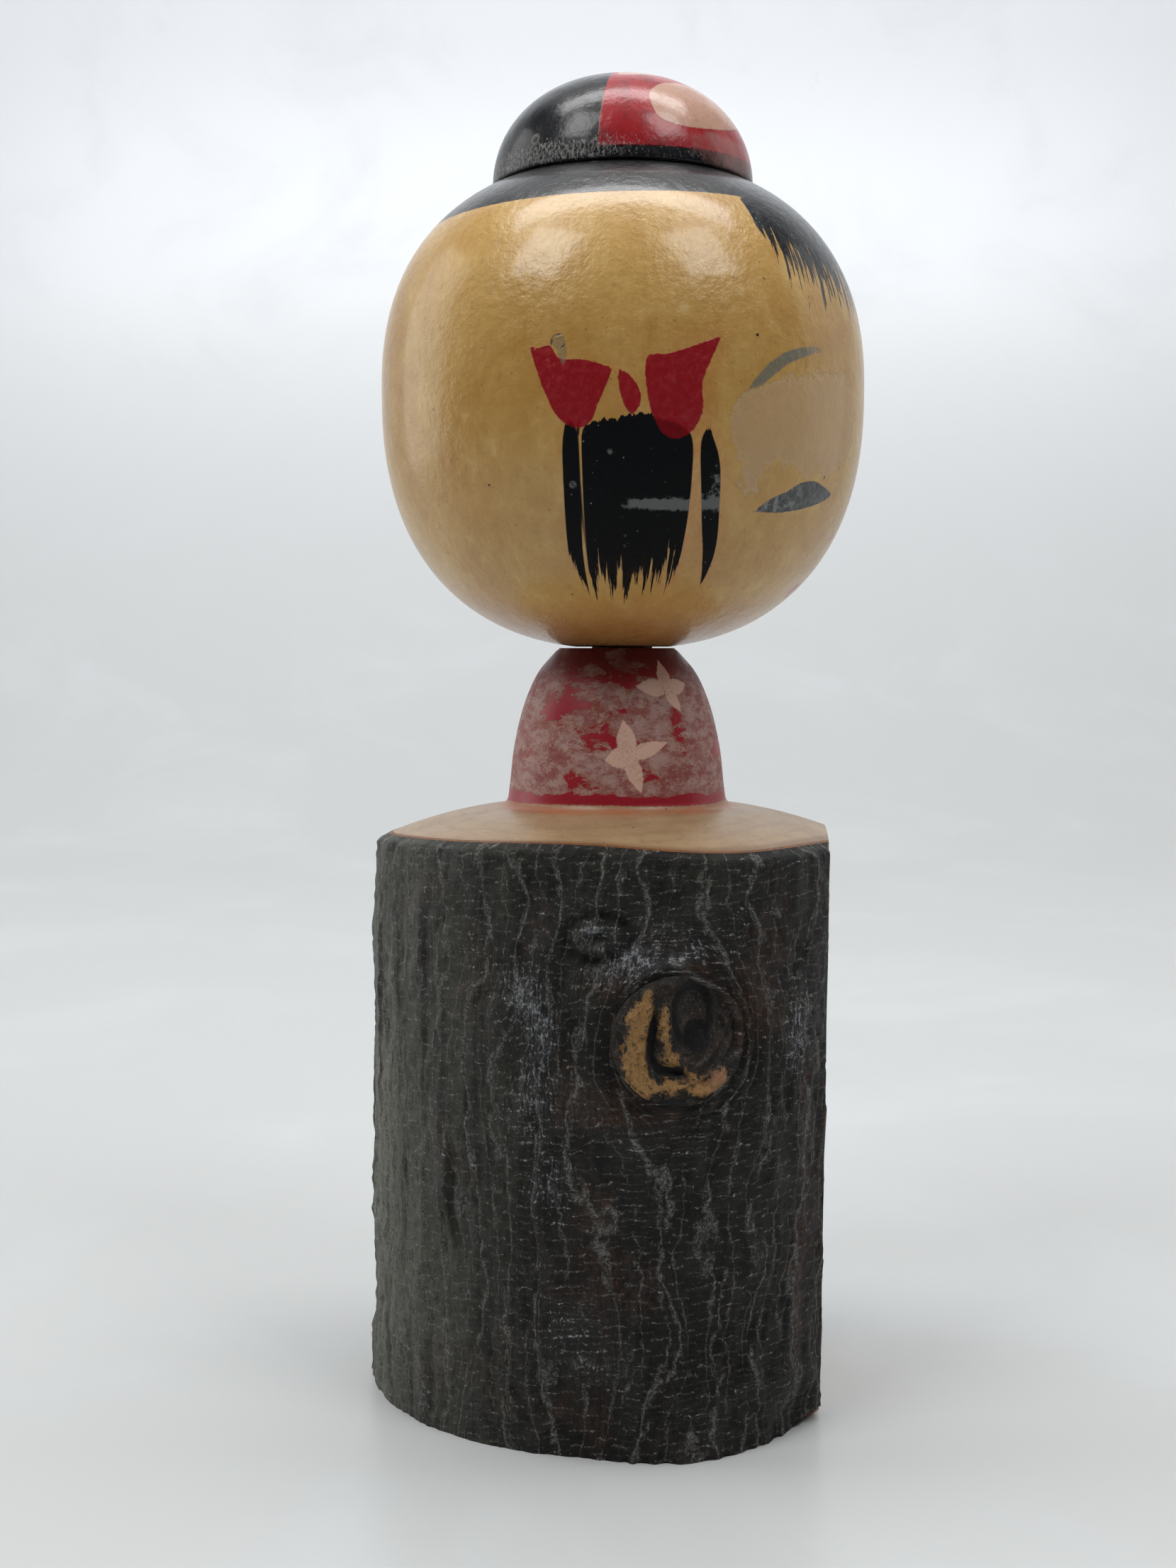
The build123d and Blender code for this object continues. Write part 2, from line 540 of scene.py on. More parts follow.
def inside(x: Array, y: Array, outline: Array) -> Array:
    """Signed distance to a closed outline, above 0 inside.

    The size is the least distance to any of the outline's straight steps, and the sign comes
    from how many steps a level ray crosses.

    Args:
        x: First coordinates.
        y: Second coordinates.
        outline: The outline's points.

    Returns:
        The distances.
    """
    nearest = np.full(x.shape, np.inf)
    crossings = np.zeros(x.shape, int)
    for (ax, ay), (bx, by) in zip(outline, np.roll(outline, -1, 0)):
        dx, dy = bx - ax, by - ay
        length = dx * dx + dy * dy
        if length == 0:
            continue
        share = np.clip(((x - ax) * dx + (y - ay) * dy) / length, 0, 1)
        nearest = np.minimum(nearest, np.hypot(x - ax - share * dx, y - ay - share * dy))
        if dy != 0:
            spans = (ay > y) != (by > y)
            crossings += spans & (x < ax + (y - ay) * dx / dy)
    return np.where(crossings % 2 == 1, nearest, -nearest)


def blob(x: Array, y: Array, centre: tuple[float, float], size: tuple[float, float]) -> Array:
    """Soft spot: exp(-(x/a)^2 - (y/b)^2) about its centre."""
    return np.exp(-(((x - centre[0]) / size[0]) ** 2) - ((y - centre[1]) / size[1]) ** 2)


def step(value: Array, low: float, high: float) -> Array:
    """Smooth step from 0 at low to 1 at high: 3t^2 - 2t^3."""
    share = np.clip((value - low) / (high - low), 0, 1)
    return share * share * (3 - 2 * share)


class Relief:
    """Seeded random relief on a sheet that joins up round its first direction."""

    def __init__(self, seed: int) -> None:
        """Starts the random numbers."""
        self.random = np.random.default_rng(seed)

    def layer(self, across: Array, along: Array, cells: tuple[int, int]) -> Array:
        """Value noise: random heights at a grid of points, blended by 3t^2 - 2t^3.

        Args:
            across: Place round the sheet, in turns.
            along: Place up the sheet, 0 to 1.
            cells: Number of cells round and up.

        Returns:
            Heights from -1 to 1.
        """
        heights = self.random.uniform(-1, 1, (cells[1] + 2, cells[0]))
        x = (across % 1) * cells[0]
        y = np.clip(along, 0, 1) * cells[1]
        column, row = np.floor(x).astype(int), np.floor(y).astype(int)
        right = (column + 1) % cells[0]
        column = column % cells[0]
        tx, ty = step(x - np.floor(x), 0, 1), step(y - row, 0, 1)
        low = heights[row, column] * (1 - tx) + heights[row, right] * tx
        high = heights[row + 1, column] * (1 - tx) + heights[row + 1, right] * tx
        return low * (1 - ty) + high * ty


@dataclass(frozen=True)
class FaceMap:
    """Places painted marks on a turned piece: degrees from the face's middle, and height in mm."""

    face: float = radians(-10.0)

    def around(self, heading: Array) -> Array:
        """Degrees from the face's middle, from -180 to 180."""
        return (np.degrees(heading - self.face) + 180) % 360 - 180

    def marked(self, heading: Array, height: Array, outline: Points, radius: float) -> Array:
        """Signed distance in mm to a painted outline.

        Args:
            heading: Headings of the surface's points.
            height: Heights of the surface's points.
            outline: Corners as (degrees from the face's middle, height in mm).
            radius: Radius at which degrees are turned into mm.

        Returns:
            The distances, above 0 inside.
        """
        scale = radians(1) * radius / MM
        turns = np.array([scale, 1.0])
        x = self.around(heading) * scale
        return inside(x, height / MM, rounded(outline) * turns)


# Finishes ----------------------------------------------------------------------------------------


@dataclass(frozen=True)
class HeadLacquer:
    """Yellowed lacquer over pale wood, with painted hair, bow, tuft and face."""

    honey: Colour = paint(204, 166, 98)
    amber: Colour = paint(177, 131, 62)
    wash: Colour = paint(188, 156, 118)
    flaked_edge_and_highlight: Colour = paint(218, 190, 150)
    bleed: Colour = paint(196, 112, 66)
    red: Colour = paint(146, 18, 28)
    black: Colour = paint(17, 18, 20)
    grey: Colour = paint(120, 124, 122)
    brow: Colour = paint(108, 112, 104)
    lips: Colour = paint(170, 38, 36)
    speck: Colour = paint(74, 52, 28)
    lid: Colour = paint(40, 43, 45)
    faded_red: Colour = paint(186, 66, 68)
    red_on_black: Colour = paint(96, 14, 22)
    eyelet: Colour = paint(122, 112, 92)
    ring: Colour = paint(52, 50, 46)
    dust: Colour = paint(150, 152, 150)
    thin_black: Colour = paint(58, 50, 42)
    cloud: Colour = paint(146, 108, 60)
    gleam: Colour = paint(216, 186, 136)
    painted_underside_shade: Colour = paint(146, 92, 54)

    def build(self) -> bpy.types.Material:
        """The finish: wood, then washes, then painted marks, each mask a distance plus noise.

        Returns:
            The material.
        """
        s = Shader("head_lacquer")
        wood, peeled = self._wood(s)
        fibres = s.noise(s.surface, (1.25, 0.08, 1.0), 5.0, 0.66)
        fine = s.noise(s.place, (1.7, 1.7, 1.7), 3.0, 0.65)
        worn = s.noise(s.place, (1.3, 1.3, 1.3), 5.0, 0.75)
        bow = s.brushed("bow", fine, 0.3, 0.06)
        outline = s.mark("black") + (fibres - 0.5) * s.mark("bristle")
        tips = s.mark("tips") + (fibres - 0.5) * s.mark("ragged")
        black = outline.rise(-0.06, 0.06).least(tips.rise(-0.12, 0.12))
        eye = s.brushed("eye", fine, 0.2, 0.06)
        halo = s.mark("bow").most(s.mark("black") - 0.6).rise(-3.0, -0.2) * s.mark("halo")
        wood = s.lay(wood, self.bleed, halo * fine.rise(0.2, 0.7) * 0.7)
        colour = s.lay(wood, self._ink(s, worn, fine), black)
        lid = s.lay(self.lid, self.grey, worn.rise(0.45, 0.6) * s.mark("eye_wear"))
        colour = s.lay(colour, lid, eye)
        brow = s.brushed("brow", worn, 0.5, 0.12) * s.mark("brow_fade")
        colour = s.lay(colour, self.brow, brow * (0.6 + fine * 0.5))
        lips = s.brushed("lips", fine, 0.16, 0.05)
        colour = s.lay(colour, self.lips, lips)
        red = s.lay(self.red, self.faded_red, worn.rise(0.45, 0.75) * s.mark("faded"))
        red = s.lay(red, self.red_on_black, s.mark("black").rise(0.0, 0.3) * 0.7)
        colour = s.lay(colour, red, bow)
        colour = s.lay(colour, self.eyelet, s.mark("eyelet").rise(-0.05, 0.08) * 0.55)
        ring = s.mark("ring").rise(-0.05, 0.08)
        colour = s.lay(colour, self.ring, ring * 0.85)
        painted = black.most(bow).most(eye)
        peel = s.noise(s.place, (0.75, 0.75, 0.75), 4.0, 0.6)
        height = (
            painted * 0.02 + (peel - 0.5) * 0.16 + (fine - 0.5) * 0.03 - ring * 0.12 - peeled * 0.05
        )
        normal = s.bumped(height)
        rough = 0.3 + (worn - 0.5) * 0.25 + peeled * 0.2
        gloss = s.skin(
            Base_Color=colour, Roughness=rough, Normal=normal, Coat_Weight=0.36,
            Coat_Roughness=0.12, Specular_IOR_Level=0.42,
        )
        matt = s.skin(
            Base_Color=colour, Roughness=rough + 0.2, Normal=normal, Specular_IOR_Level=0.07
        )
        return s.finish(
            s.node("ShaderNodeMixShader", None, {0: black * s.mark("matt"), 1: gloss, 2: matt})
        )

    def _ink(self, s: Shader, worn: Value, fine: Value) -> Value:
        """Black hair paint with scuffs, rubbed spots and fine pale specks.

        Args:
            s: The shader being built.
            worn: Rough noise that breaks up the wear.
            fine: Fine noise.

        Returns:
            The colour.
        """
        scuffed = (s.mark("scuff") + (worn - 0.5) * 1.3).rise(0.38, 0.62)
        spots = s.specks(0.3, 0.1, 0.14)
        specks = s.specks(1.1, 0.06, 0.13)
        ink = s.lay(self.black, self.grey, scuffed * 0.75)
        ink = s.lay(ink, self.grey, spots * worn.rise(0.48, 0.56) * 0.6)
        ink = s.lay(ink, self.dust, specks * fine.rise(0.5, 0.6) * 0.7)
        thin = fine.rise(0.35, 0.7) * s.mark("thin")
        return s.lay(ink, self.thin_black, thin * 0.5)

    def _wood(self, s: Shader) -> tuple[Value, Value]:
        """The bare lacquered wood: clouds, upright grain, specks, a flaked patch, and painted shade
        low down.

        Args:
            s: The shader being built.

        Returns:
            The colour, and where the lacquer has flaked off.
        """
        cloud = s.noise(s.place, (0.08, 0.08, 0.06), 3.0, 0.55, 0.5)
        patch = s.noise(s.place, (0.28, 0.28, 0.24), 5.0, 0.62, 0.4)
        grain = s.noise(s.surface, (2.6, 0.1, 1.0), 3.0, 0.6)
        blotch = s.noise(s.place, (0.9, 0.9, 0.7), 4.0, 0.7)
        tone = (
            cloud.rise(0.3, 0.7) * 0.5 + patch.rise(0.32, 0.72) * 0.42
            + grain.rise(0.25, 0.8) * 0.12
        )
        wood = s.lay(self.honey, self.amber, tone)
        wood = s.lay(wood, self.cloud, blotch.rise(0.52, 0.72) * 0.28)
        wood = s.lay(wood, self.gleam, patch.rise(0.5, 0.3) * blotch.rise(0.5, 0.36) * 0.45)
        edge = s.mark("wash") + (blotch - 0.5) * 3.4 + (patch - 0.5) * 5.0
        peeled = edge.rise(-0.12, 0.12)
        wood = s.lay(wood, self.wash, peeled * (0.35 + blotch * 0.7))
        # paler line along the peeled patch's edge: the lacquer's own lifted rim, partly painted
        # highlight
        wood = s.lay(wood, self.flaked_edge_and_highlight, abs(edge - 0.25).rise(0.3, 0.05) * 0.14)
        pores = s.specks(0.33, 0.035, 0.075)
        wood = s.lay(wood, self.speck, pores * patch.rise(0.5, 0.56))
        dust = s.specks(0.8, 0.05, 0.11)
        wood = s.lay(wood, self.speck, dust * cloud.rise(0.45, 0.55) * 0.5)
        # painted shade: the wood is darkened and warmed towards the bottom of the head
        wood = s.lay(wood, self.painted_underside_shade, s.mark("painted_underside_shade") * 0.7)
        return wood, peeled


@dataclass(frozen=True)
class TopknotLacquer:
    """Black and red paint with pale petals on the topknot, rubbed bright round its foot."""

    black: Colour = paint(20, 21, 24)
    red: Colour = paint(160, 34, 40)
    pale: Colour = paint(190, 148, 128)
    bare: Colour = paint(176, 172, 168)
    worn_red: Colour = paint(130, 26, 34)
    worn_pale: Colour = paint(170, 122, 102)
    faded: Colour = paint(170, 112, 106)
    ring: Colour = paint(96, 96, 88)

    def build(self) -> bpy.types.Material:
        """The finish: black, red over the front half, pale petals, then wear at the foot.

        Returns:
            The material.
        """
        s = Shader("topknot_lacquer")
        fine = s.noise(s.place, (2.0, 2.0, 2.0), 3.0, 0.65)
        soft = s.noise(s.place, (0.5, 0.5, 0.5), 4.0, 0.6)
        red = s.brushed("cloth", fine, 0.22, 0.07)
        pale = s.brushed("petal", fine, 0.22, 0.07)
        colour = s.lay(self.black, s.lay(self.red, self.worn_red, soft.rise(0.45, 0.7)), red)
        petals = s.lay(self.pale, self.worn_pale, soft.rise(0.45, 0.75))
        colour = s.lay(colour, petals, pale)
        specks = s.noise(s.surface, (3.2, 1.7, 1.0), 4.0, 0.85)
        rub = (s.mark("rub") + (specks - 0.5) * 2.6).rise(0.9, 1.14)
        colour = s.lay(colour, self.bare, rub * 0.6)
        faded = (s.mark("faded") + (soft - 0.5) * 1.2).rise(0.35, 0.9)
        colour = s.lay(colour, self.faded, faded * 0.5)
        colour = s.lay(colour, self.ring, s.mark("ring").rise(-0.05, 0.08))
        height = red * 0.015 + pale * 0.015 - rub * 0.03 + (soft - 0.5) * 0.12
        rough = 0.27 + rub * 0.3 + (soft - 0.5) * 0.16
        return s.finish(s.skin(
            Base_Color=colour, Roughness=rough, Normal=s.bumped(height), Coat_Weight=0.2,
            Coat_Roughness=0.1, Specular_IOR_Level=0.34,
        ))


@dataclass(frozen=True)
class TurnedWood:
    """Clear-lacquered wood of the branch, and worn red paint with pale flowers on the bust."""

    pale: Colour = paint(172, 145, 110)
    tan: Colour = paint(140, 110, 78)
    edge: Colour = paint(112, 76, 44)
    red: Colour = paint(160, 22, 40)
    # dark: the red inside the head's painted shadow
    dark: Colour = paint(84, 16, 22)
    bare: Colour = paint(176, 144, 134)
    rust: Colour = paint(150, 84, 44)
    flower: Colour = paint(226, 186, 166)
    pollen: Colour = paint(176, 134, 82)
    stain: Colour = paint(176, 102, 68)
    rosy: Colour = paint(140, 78, 74)
    chalk: Colour = paint(204, 184, 178)
    maroon: Colour = paint(134, 50, 46)
    wear_in_painted_shadow: Colour = paint(96, 50, 52)
    pore: Colour = paint(70, 52, 34)
    scratch: Colour = paint(226, 208, 186)
    grime: Colour = paint(112, 86, 58)

    def build(self) -> bpy.types.Material:
        """The finish: ring-grained wood below, paint and its wear above.

        Returns:
            The material.
        """
        s = Shader("turned_wood")
        wood, grain = self._wood(s)
        fine = s.noise(s.place, (2.3, 2.3, 2.3), 4.0, 0.75)
        patch = s.noise(s.place, (0.22, 0.22, 0.4), 6.0, 0.66, 0.4)
        grit = s.noise(s.place, (3.6, 3.6, 3.6), 3.0, 0.8)
        colour, bare = self._red(s, fine, patch, grit)
        painted = s.brushed("paint", fine, 0.5, 0.1)
        petal = s.brushed("petal", fine, 0.5, 0.08)
        pollen = (grit + fine * 0.4).rise(0.74, 0.84) * s.mark("pollen")
        cream = s.lay(self.flower, self.pollen, pollen)
        colour = s.lay(colour, cream, petal * (0.75 + fine * 0.3))
        stain = s.mark("stain") * (0.4 + patch.rise(0.3, 0.7) * 0.6)
        wood = s.lay(wood, self.stain, stain * 0.5)
        colour = s.lay(wood, colour, painted)
        height = painted * (1.0 - bare) * 0.03 + petal * 0.015 + (grit - 0.5) * 0.03 + grain * 0.02
        rough = 0.4 + bare * painted * 0.25 + (patch - 0.5) * 0.2
        return s.finish(s.skin(
            Base_Color=colour, Roughness=rough, Normal=s.bumped(height), Coat_Weight=0.15,
            Coat_Roughness=0.25, Specular_IOR_Level=0.42,
        ))

    def _red(self, s: Shader, fine: Value, patch: Value, grit: Value) -> tuple[Value, Value]:
        """Red paint with whitened, grainy wear leaving bright islands, and painted head shadow at
        the top.

        Args:
            s: The shader being built.
            fine: Fine noise.
            patch: Broad noise that sets where the paint is worn.
            grit: The finest noise.

        Returns:
            The colour, and how bare it is.
        """
        rub = patch * 1.7 - 0.35 + (fine - 0.5) * 0.3 + s.mark("wear") * 0.4
        bare = rub.rise(0.5, 0.53)
        streak = s.noise(s.place, (0.5, 0.5, 0.95), 6.0, 0.8)
        worn = s.lay(self.bare, self.rosy, streak.rise(0.44, 0.6) * 0.75)
        worn = s.lay(worn, self.chalk, streak.rise(0.46, 0.34) * grit.rise(0.4, 0.6) * 0.6)
        stained = s.noise(s.place, (0.34, 0.34, 0.5), 6.0, 0.72)
        worn = s.lay(worn, self.maroon, (stained + (grit - 0.5) * 0.3).rise(0.5, 0.6) * 0.7)
        edge = rub.rise(0.68, 0.52) * (grit + fine * 0.5).rise(0.7, 0.78)
        worn = s.lay(worn, self.rust, edge * 0.8)
        worn = s.lay(worn, self.red, (grit * 0.6 + fine * 0.6).rise(0.68, 0.74) * 0.45)
        # painted shadow of the head: paint and wear darkened just under the bust's top
        solid = s.lay(self.red, self.dark, s.mark("shade"))
        worn = s.lay(worn, self.wear_in_painted_shadow, s.mark("shade") * 0.75)
        return s.lay(solid, worn, bare * 0.92), bare

    def _wood(self, s: Shader) -> tuple[Value, Value]:
        """Bare turned end grain: rings about the pith, fine scratches, pores and a dark rim.

        Args:
            s: The shader being built.

        Returns:
            The colour, and the grain's height.
        """
        from_pith = s.shifted(s.place, (3.0, -2.0, 0.0))
        warp = s.noise(s.place, (0.12, 0.12, 0.05), 3.0, 0.5)
        flat = s.scaled(from_pith, (1.0, 1.0, 0.0))
        radius = s.node("ShaderNodeVectorMath", {"operation": "LENGTH"}, {0: flat}, "Value")
        rings = s.maths("SINE", radius * 2.6 + warp * 9.0)
        mottle = s.noise(s.place, (0.2, 0.2, 0.2), 4.0, 0.6)
        grain = s.noise(s.place, (2.4, 2.4, 0.14), 3.0, 0.6)
        tone = (
            rings.rise(0.1, 1.0) * 0.16 + mottle.rise(0.3, 0.75) * 0.5 + grain.rise(0.4, 0.8) * 0.2
        )
        wood = s.lay(self.pale, self.tan, tone)
        wood = s.lay(wood, self.edge, s.mark("rim") * 0.55)
        pores = s.specks(0.45, 0.05, 0.09)
        wood = s.lay(wood, self.pore, pores * mottle.rise(0.46, 0.54))
        scratch = s.noise(s.surface, (0.12, 4.0, 1.0), 2.0, 0.5)
        wood = s.lay(wood, self.scratch, scratch.rise(0.68, 0.74) * 0.35)
        grime = s.noise(s.place, (0.7, 0.7, 0.7), 5.0, 0.75)
        wood = s.lay(wood, self.grime, grime.rise(0.54, 0.7) * 0.4)
        return wood, grain


@dataclass(frozen=True)
class DarkBark:
    """Dark bark with lighter upright wrinkles, fine cross cracks, bloom, painted sheen and glints.
    """

    hollow: Colour = paint(12, 11, 10)
    plate: Colour = paint(33, 32, 30)
    crest: Colour = paint(150, 147, 137)
    olive: Colour = paint(48, 49, 36)
    rust: Colour = paint(84, 55, 40)
    tan: Colour = paint(124, 92, 56)
    grazing_sheen: Colour = paint(130, 132, 118)
    bloom: Colour = paint(186, 188, 194)
    cut: Colour = paint(116, 76, 44)

    def build(self) -> bpy.types.Material:
        """The finish: dark plates and tints, painted sheen, wrinkles, cracks, bloom, painted
        glints, cut edges.

        Returns:
            The material.
        """
        s = Shader("dark_bark")
        relief = s.mark("relief")
        grain = s.noise(s.surface, (2.4, 0.7, 1.0), 5.0, 0.75)
        fine = s.noise(s.surface, (4.4, 3.4, 1.0), 3.0, 0.75)
        broad = s.noise(s.surface, (0.12, 0.07, 1.0), 3.0, 0.55)
        colour = s.lay(
            self.hollow, self.plate,
            (relief * 0.6 + grain * 0.5 + (fine - 0.5) * 0.5).rise(0.2, 0.64)
        )
        colour = s.lay(colour, self.olive, broad.rise(0.48, 0.66) * grain.rise(0.35, 0.65) * 0.7)
        tint = (
            broad.rise(0.5, 0.36) * grain.rise(0.4, 0.64) * 0.5
            + s.mark("tan") * grain.rise(0.36, 0.6)
        )
        colour = s.lay(colour, self.rust, tint)
        colour = s.lay(
            colour, self.tan, (s.mark("tan") + (grain - 0.5) * 0.9).rise(0.78, 1.0) * 0.8
        )
        wrinkle, cracks = self._lines(s, grain, fine)
        # painted sheen: grazing light on the branch's side far left of the knot, in pale upright
        # bands
        bands = s.noise(s.surface, (0.34, 0.025, 1.0), 3.0, 0.6)
        painted_sheen = s.mark("painted_sheen") * bands.rise(0.34, 0.56) * (grain * 0.7 + fine * 0.5).rise(0.34, 0.7)
        colour = s.lay(colour, self.grazing_sheen, painted_sheen)
        ribs = (relief + (grain - 0.5) * 0.9 + (fine - 0.5) * 0.4).rise(0.72, 1.05)
        colour = s.lay(colour, self.crest, ribs * 0.16)
        colour = s.lay(colour, self.crest, wrinkle * 0.9)
        colour = s.lay(colour, self.bloom, wrinkle * fine.rise(0.48, 0.62) * 0.7)
        colour = s.lay(colour, self.crest, cracks * 0.42)
        colour = s.lay(colour, self.hollow, (fine + grain * 0.5).rise(0.66, 0.56) * 0.8)
        dusty = (s.mark("bloom") + (grain - 0.5) * 1.2).rise(0.15, 0.6)
        colour = s.lay(colour, self.bloom, dusty * 0.12)
        bloom = (
            s.mark("bloom") + (fine - 0.5) * 1.3 + (grain - 0.5) * 2.2 + cracks * 0.4
        ).rise(0.44, 0.68)
        colour = s.lay(colour, self.bloom, bloom * 0.7)
        # painted glints: small bright points where the noise and the raised relief are highest
        painted_glints = (fine + grain * 0.7 + relief * 0.2).rise(1.08, 1.22)
        colour = s.lay(colour, self.bloom, painted_glints * 0.45)
        cut = (s.mark("cut") + (grain - 0.5) * 0.6).rise(0.35, 0.6)
        colour = s.lay(colour, self.cut, cut)
        height = (grain - 0.5) * 0.5 + (fine - 0.5) * 0.3 + wrinkle * 0.3 - cracks * 0.14
        rough = 0.5 + (grain - 0.5) * 0.3
        return s.finish(s.skin(
            Base_Color=colour, Roughness=rough, Normal=s.bumped(height), Specular_IOR_Level=0.26,
            Coat_Weight=0.03, Coat_Roughness=0.3,
        ))

    def _lines(self, s: Shader, grain: Value, fine: Value) -> tuple[Value, Value]:
        """Wandering upright wrinkles, and level cracks that break off at each of them.

        A line lies where the fraction of a coordinate plus noise crosses a half, so that it
        keeps its width.  Each strip between wrinkles has its cracks at other heights.

        Args:
            s: The shader being built.
            grain: Noise that breaks the lines up.
            fine: Finer noise that breaks them up.

        Returns:
            Masks of the wrinkles and of the cracks.
        """
        across, up = s.part(s.surface, "X"), s.part(s.surface, "Y")
        jag = s.noise(s.surface, (0.8, 0.6, 1.0), 4.0, 0.7)
        sway = s.noise(s.surface, (0.1, 0.045, 1.0), 4.0, 0.55)
        broken = s.noise(s.surface, (0.3, 0.1, 1.0), 3.0, 0.6, offset=(31.0, 17.0, 0.0))
        strip = across * 0.19 + sway * 3.2 + jag * 0.34
        narrow = across * 0.4 + sway * 4.5 + jag * 0.6
        ragged = (fine - 0.5) * 0.22 + (grain - 0.5) * 0.16
        main = (
            (abs(s.maths("FRACT", strip) - 0.5) + ragged).rise(0.08, 0.02) * broken.rise(0.42, 0.5)
        )
        minor = (
            (abs(s.maths("FRACT", narrow) - 0.5) + ragged).rise(0.09, 0.01) * broken.rise(0.6, 0.46)
            * 0.6
        )
        crumb = s.noise(s.surface, (2.6, 1.9, 1.0), 4.0, 0.85)
        wrinkle = (
            main.most(minor) * (grain * 0.6 + fine).rise(0.62, 0.9)
            * (0.32 + crumb.rise(0.42, 0.56) * 0.9)
        )
        own = s.maths("FLOOR", narrow) * 0.37
        level = abs(
            s.maths("FRACT", up * 0.58 + sway * 1.4 + jag * 0.9 + own) - 0.5
        ).rise(0.07, 0.02)
        second = abs(
            s.maths("FRACT", up * 1.3 + sway * 2.0 + jag * 1.7 - own) - 0.5
        ).rise(0.1, 0.02)
        cracks = level.most(second * broken.rise(0.4, 0.6) * 0.6)
        return wrinkle, cracks * (fine * 0.8 + grain * 0.5).rise(0.52, 0.82)


@dataclass(frozen=True)
class OldKnot:
    """Weathered stub: tan wood, resin-dark grain and a hollow darkened near black by painted shade.
    """

    tan: Colour = paint(160, 121, 71)
    brown: Colour = paint(92, 65, 38)
    dark: Colour = paint(40, 36, 32)
    black: Colour = paint(10, 9, 9)
    grey: Colour = paint(86, 80, 72)
    russet: Colour = paint(72, 52, 40)
    ash: Colour = paint(126, 118, 106)
    straw: Colour = paint(190, 150, 98)
    pink: Colour = paint(150, 108, 88)

    def build(self) -> bpy.types.Material:
        """The finish: dark ground, tan where the wood shows, near-black painted shade in the
        hollow.

        Returns:
            The material.
        """
        s = Shader("old_knot")
        rings = s.noise(s.surface, (0.22, 1.9, 1.0), 4.0, 0.65, 0.3)
        fine = s.noise(s.place, (1.7, 1.7, 1.7), 4.0, 0.75)
        grit = s.noise(s.place, (4.0, 4.0, 4.0), 3.0, 0.8)
        patch = s.noise(s.place, (0.55, 0.55, 0.55), 3.0, 0.6)
        ground = s.lay(self.dark, self.grey, rings.rise(0.5, 0.66) * patch.rise(0.42, 0.6) * 0.8)
        ground = s.lay(ground, self.russet, patch.rise(0.45, 0.62) * fine.rise(0.4, 0.6) * 0.7)
        ground = s.lay(ground, self.ash, (grit + (fine - 0.5) * 0.6).rise(0.58, 0.68) * 0.55)
        ground = s.lay(ground, self.black, (grit + (fine - 0.5) * 0.6).rise(0.46, 0.36) * 0.8)
        wood = s.lay(self.tan, self.brown, fine.rise(0.46, 0.66) * 0.8)
        wood = s.lay(wood, self.straw, grit.rise(0.54, 0.66) * 0.6)
        wood = s.lay(wood, self.dark, (rings + (fine - 0.5) * 0.6).rise(0.58, 0.68) * 0.75)
        bare = (s.mark("wood") + (fine - 0.5) * 2.4 + (patch - 0.5) * 2.2).rise(-0.05, 0.25)
        colour = s.lay(ground, wood, bare)
        colour = s.lay(colour, self.pink, s.mark("pink") * bare * 0.6)
        # painted shade: the pit, the gap, the line under the crescent and the hollow's rim go near
        # black
        hollow = (s.mark("hollow") + (fine - 0.5) * 1.5 + (grit - 0.5) * 0.8).rise(0.42, 0.66)
        colour = s.lay(colour, self.black, hollow)
        height = (rings - 0.5) * 0.3 + (fine - 0.5) * 0.35 + (grit - 0.5) * 0.12
        return s.finish(s.skin(
            Base_Color=colour, Roughness=0.55 + (fine - 0.5) * 0.3, Normal=s.bumped(height),
            Specular_IOR_Level=0.35,
        ))


@dataclass(frozen=True)
class PlainWood:
    """Plain wood in two tones with fine upright fibres, for the hidden pegs and the bast."""

    name: str
    light: Colour
    deep: Colour
    rough: float = 0.6

    def build(self) -> bpy.types.Material:
        """The finish: fibres along the piece's length and broader clouds.

        Returns:
            The material.
        """
        s = Shader(self.name)
        fibres = s.noise(s.place, (3.0, 3.0, 0.25), 4.0, 0.65)
        cloud = s.noise(s.place, (0.3, 0.3, 0.2), 3.0, 0.5)
        colour = s.lay(
            self.light, self.deep, fibres.rise(0.35, 0.7) * 0.6 + cloud.rise(0.4, 0.7) * 0.4
        )
        rough = self.rough + (fibres - 0.5) * 0.2
        return s.finish(
            s.skin(Base_Color=colour, Roughness=rough, Normal=s.bumped((fibres - 0.5) * 0.06))
        )


@dataclass(frozen=True)
class StageFinish:
    """Grey studio floor that grows paler up the wall behind, with soft clouds over both."""

    pale: Colour = paint(225, 228, 232)
    vein: Colour = paint(206, 210, 214)
    floor: Colour = paint(190, 192, 191)

    def build(self) -> bpy.types.Material:
        """The finish: grey below, pale by the height of the wall, then large soft clouds.

        Returns:
            The material.
        """
        s = Shader("studio_floor")
        cloud = s.noise(s.place, (0.011, 0.011, 0.011), 5.0, 0.6, 0.6)
        wall = s.part(s.place, "Z").rise(-20.0, 380.0)
        colour = s.lay(self.floor, self.pale, wall)
        colour = s.lay(colour, self.vein, cloud.rise(0.45, 0.75) * 0.35)
        return s.finish(
            s.skin(Base_Color=colour, Roughness=0.32 + (cloud - 0.5) * 0.2, Specular_IOR_Level=0.35)
        )


# Head and topknot --------------------------------------------------------------------------------


